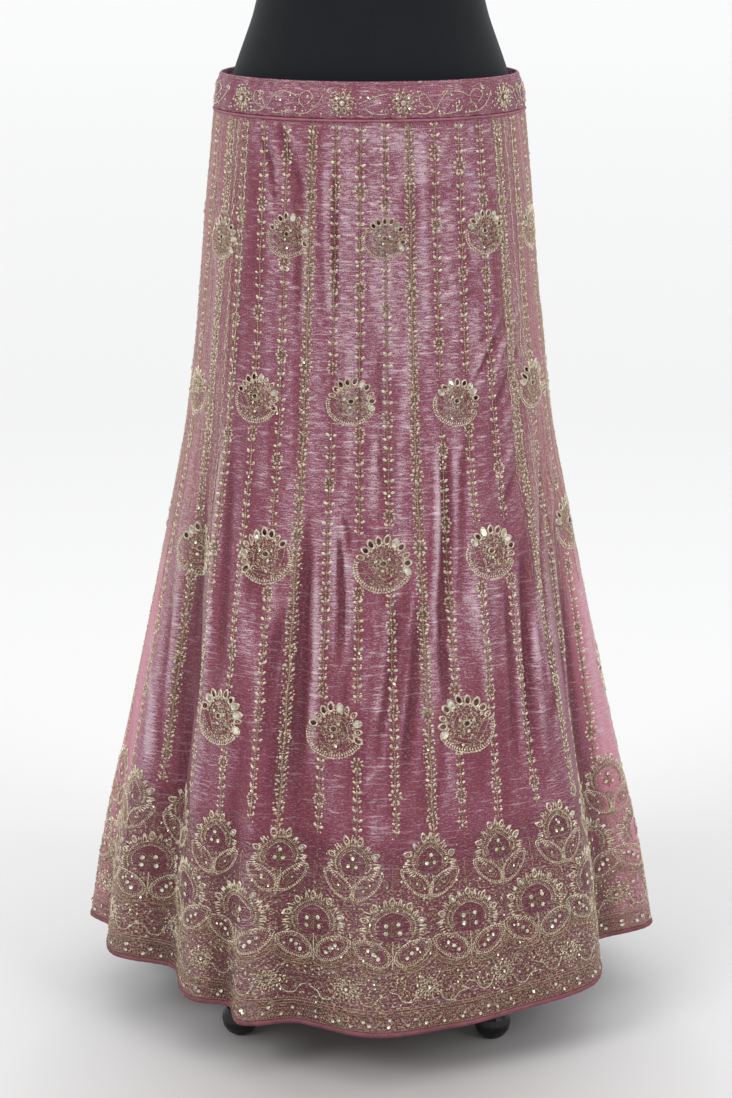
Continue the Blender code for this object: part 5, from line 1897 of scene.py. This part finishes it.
def build_torso():
    nu, nv = 112, 110
    z = np.interp(np.linspace(0, 1, nv), np.linspace(0, 1, len(TORSO)), TORSO[:, 0])
    a = curve(TORSO[:, 0], TORSO[:, 1], z)
    b = curve(TORSO[:, 0], TORSO[:, 2], z)
    f = curve(TORSO[:, 0], TORSO[:, 3], z)
    # a little settling of the rings, so that the cover has no ridges
    for _ in range(3):
        for arr in (a, b, f):
            arr[4:-3] = 0.25 * arr[3:-4] + 0.5 * arr[4:-3] + 0.25 * arr[5:-2]
    t = 2 * math.pi * np.arange(nu) / nu
    c, s = np.cos(t), np.sin(t)
    k = 1.0 / (np.abs(c) ** 2.15 + np.abs(s) ** 2.15) ** (1 / 2.15)
    shrink = np.zeros((nu, nv))
    # princess seams, a centre seam and side seams: a narrow groove between
    # two soft edges
    for seam in (-90.0, -90.0 - 43.0, -90.0 + 43.0, 90.0, 90.0 - 40.0, 90.0 + 40.0, 0.0, 180.0):
        d = (np.degrees(t) - seam + 180.0) % 360.0 - 180.0
        w = np.radians(np.abs(d))[:, None] * a[None, :]
        shrink += -0.0009 * np.exp(-(w / 0.0011) ** 2) + 0.00035 * np.exp(-((w - 0.0034) / 0.0022) ** 2)
    p = np.stack(((a[None, :] + shrink) * (c * k)[:, None],
                  (b[None, :] + shrink) * (s * k)[:, None] + f[None, :],
                  np.broadcast_to(z[None, :], (nu, nv))), -1)
    faces = []
    i = np.arange(nu)
    j = (i + 1) % nu
    for r in range(nv - 1):
        faces.append(np.stack((i * nv + r, j * nv + r, j * nv + r + 1, i * nv + r + 1), 1))
    ob = new_object("form_torso_cover", p.reshape(-1, 3), np.concatenate(faces), [JERSEY])
    bm = bmesh.new()
    bm.from_mesh(ob.data)
    bmesh.ops.holes_fill(bm, edges=[e for e in bm.edges if e.is_boundary], sides=0)
    bmesh.ops.recalc_face_normals(bm, faces=bm.faces[:])
    bm.to_mesh(ob.data)
    bm.free()
    ob.data.polygons.foreach_set("use_smooth", np.ones(len(ob.data.polygons), bool))
    ob.data.set_sharp_from_angle(angle=math.radians(50))
    return ob


torso = build_torso()
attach(torso, "root")
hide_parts("form_torso")


def node_object(name):
    n = frame["nodes"]
    if isinstance(n, dict) and name in n:
        o = n[name]
        return o if hasattr(o, "material_slots") else o.get("object")
    return bpy.data.objects.get(name)


for name in [s["node"] for s in frame["record"]["subparts"]]:
    o = node_object(name)
    if o is None:
        continue
    mat = STAND if name.startswith("stand") else RUBBER if name.startswith("foot") else JERSEY if name == "form_neck_cap" else None
    if mat is not None:
        if not o.material_slots:
            o.data.materials.append(mat)
        for s in o.material_slots:
            s.material = mat

# =====================================================================
# Each kali's length down its middle, computed and not used
# =====================================================================
for ob, name, a, b in cloth_pieces:
    p = P[a:b]
    long = float(np.linalg.norm(np.diff(p[len(p) // 2], axis=0), axis=1).sum())

# =====================================================================
# Floor, light and view
# =====================================================================
def floor():
    bm = bmesh.new()
    bmesh.ops.create_circle(bm, cap_ends=True, cap_tris=False, segments=96, radius=60.0)
    mesh = bpy.data.meshes.new("studio_floor")
    bm.to_mesh(mesh)
    bm.free()
    ob = bpy.data.objects.new("studio_floor", mesh)
    bpy.context.scene.collection.objects.link(ob)
    m = Nodes("floor_paper")
    co = m.new("ShaderNodeTexCoord").outputs["Object"]
    # floor colour by distance from a point in front of the skirt: painted light and shade over the floor
    away = m.new("ShaderNodeVectorMath", operation="DISTANCE")
    m.link(co, away.inputs[0])
    away.inputs[1].default_value = (0.0, -1.2, 0.0)
    near = m.ramp(m.span(away.outputs["Value"], 0.0, 16.0),
                  ((0.0, FLOOR_NEAR), (0.055, FLOOR_NEAR), (0.115, FLOOR_MID), (0.28, FLOOR_BACK), (0.9, FLOOR_FAR)))
    # a painted shadow, red-brown, on the floor round the front of the skirt
    close = m.new("ShaderNodeVectorMath", operation="DISTANCE")
    m.link(co, close.inputs[0])
    close.inputs[1].default_value = (0.0, -0.30, 0.0)
    near = m.mix(m.span(close.outputs["Value"], 0.08, 0.42, 0.42, 0.0), near, (0.19, 0.128, 0.122, 1.0))
    m.put(m.bsdf, Base_Color=near, Roughness=0.8)
    m.bsdf.inputs["Specular IOR Level"].default_value = 0.1
    mesh.materials.append(m.mat)


def grey(v):
    return (v, v, v * 1.003, 1.0)


# floor greys near, mid, back and far: painted light and shade over the floor
FLOOR_NEAR, FLOOR_MID, FLOOR_BACK, FLOOR_FAR = grey(0.630), grey(0.670), grey(0.612), grey(0.655)
floor()


def sun(name, azimuth, elevation, strength, spread, color=(1, 1, 1)):
    """azimuth 0 is in front of the skirt, positive to the right."""
    data = bpy.data.lights.new(name, "SUN")
    data.energy = strength
    data.angle = math.radians(spread)
    data.color = color
    ob = bpy.data.objects.new(name, data)
    az, el = math.radians(azimuth), math.radians(elevation)
    toward = Vector((math.sin(az) * math.cos(el), -math.cos(az) * math.cos(el), math.sin(el)))
    ob.rotation_euler = toward.to_track_quat("Z", "Y").to_euler()
    ob.location = toward * 5.0
    bpy.context.scene.collection.objects.link(ob)
    return ob


sun("key_left", -46.0, 40.0, 0.95, 24.0)
sun("key_right", 48.0, 34.0, 0.70, 26.0)
sun("top", 10.0, 80.0, 0.75, 60.0)
sun("rim_left", -140.0, 40.0, 0.45, 50.0)
sun("rim_right", 140.0, 40.0, 0.50, 50.0)

world = bpy.data.worlds.new("studio")
bpy.context.scene.world = world
world.use_nodes = True
wt = world.node_tree
bg = wt.nodes["Background"]
bg.inputs["Color"].default_value = (0.985, 0.99, 1.0, 1.0)
bg.inputs["Strength"].default_value = 0.74
bpy.context.scene.view_settings.view_transform = "Standard"
bpy.context.scene.view_settings.look = "None"
bpy.context.scene.view_settings.exposure = 0.0
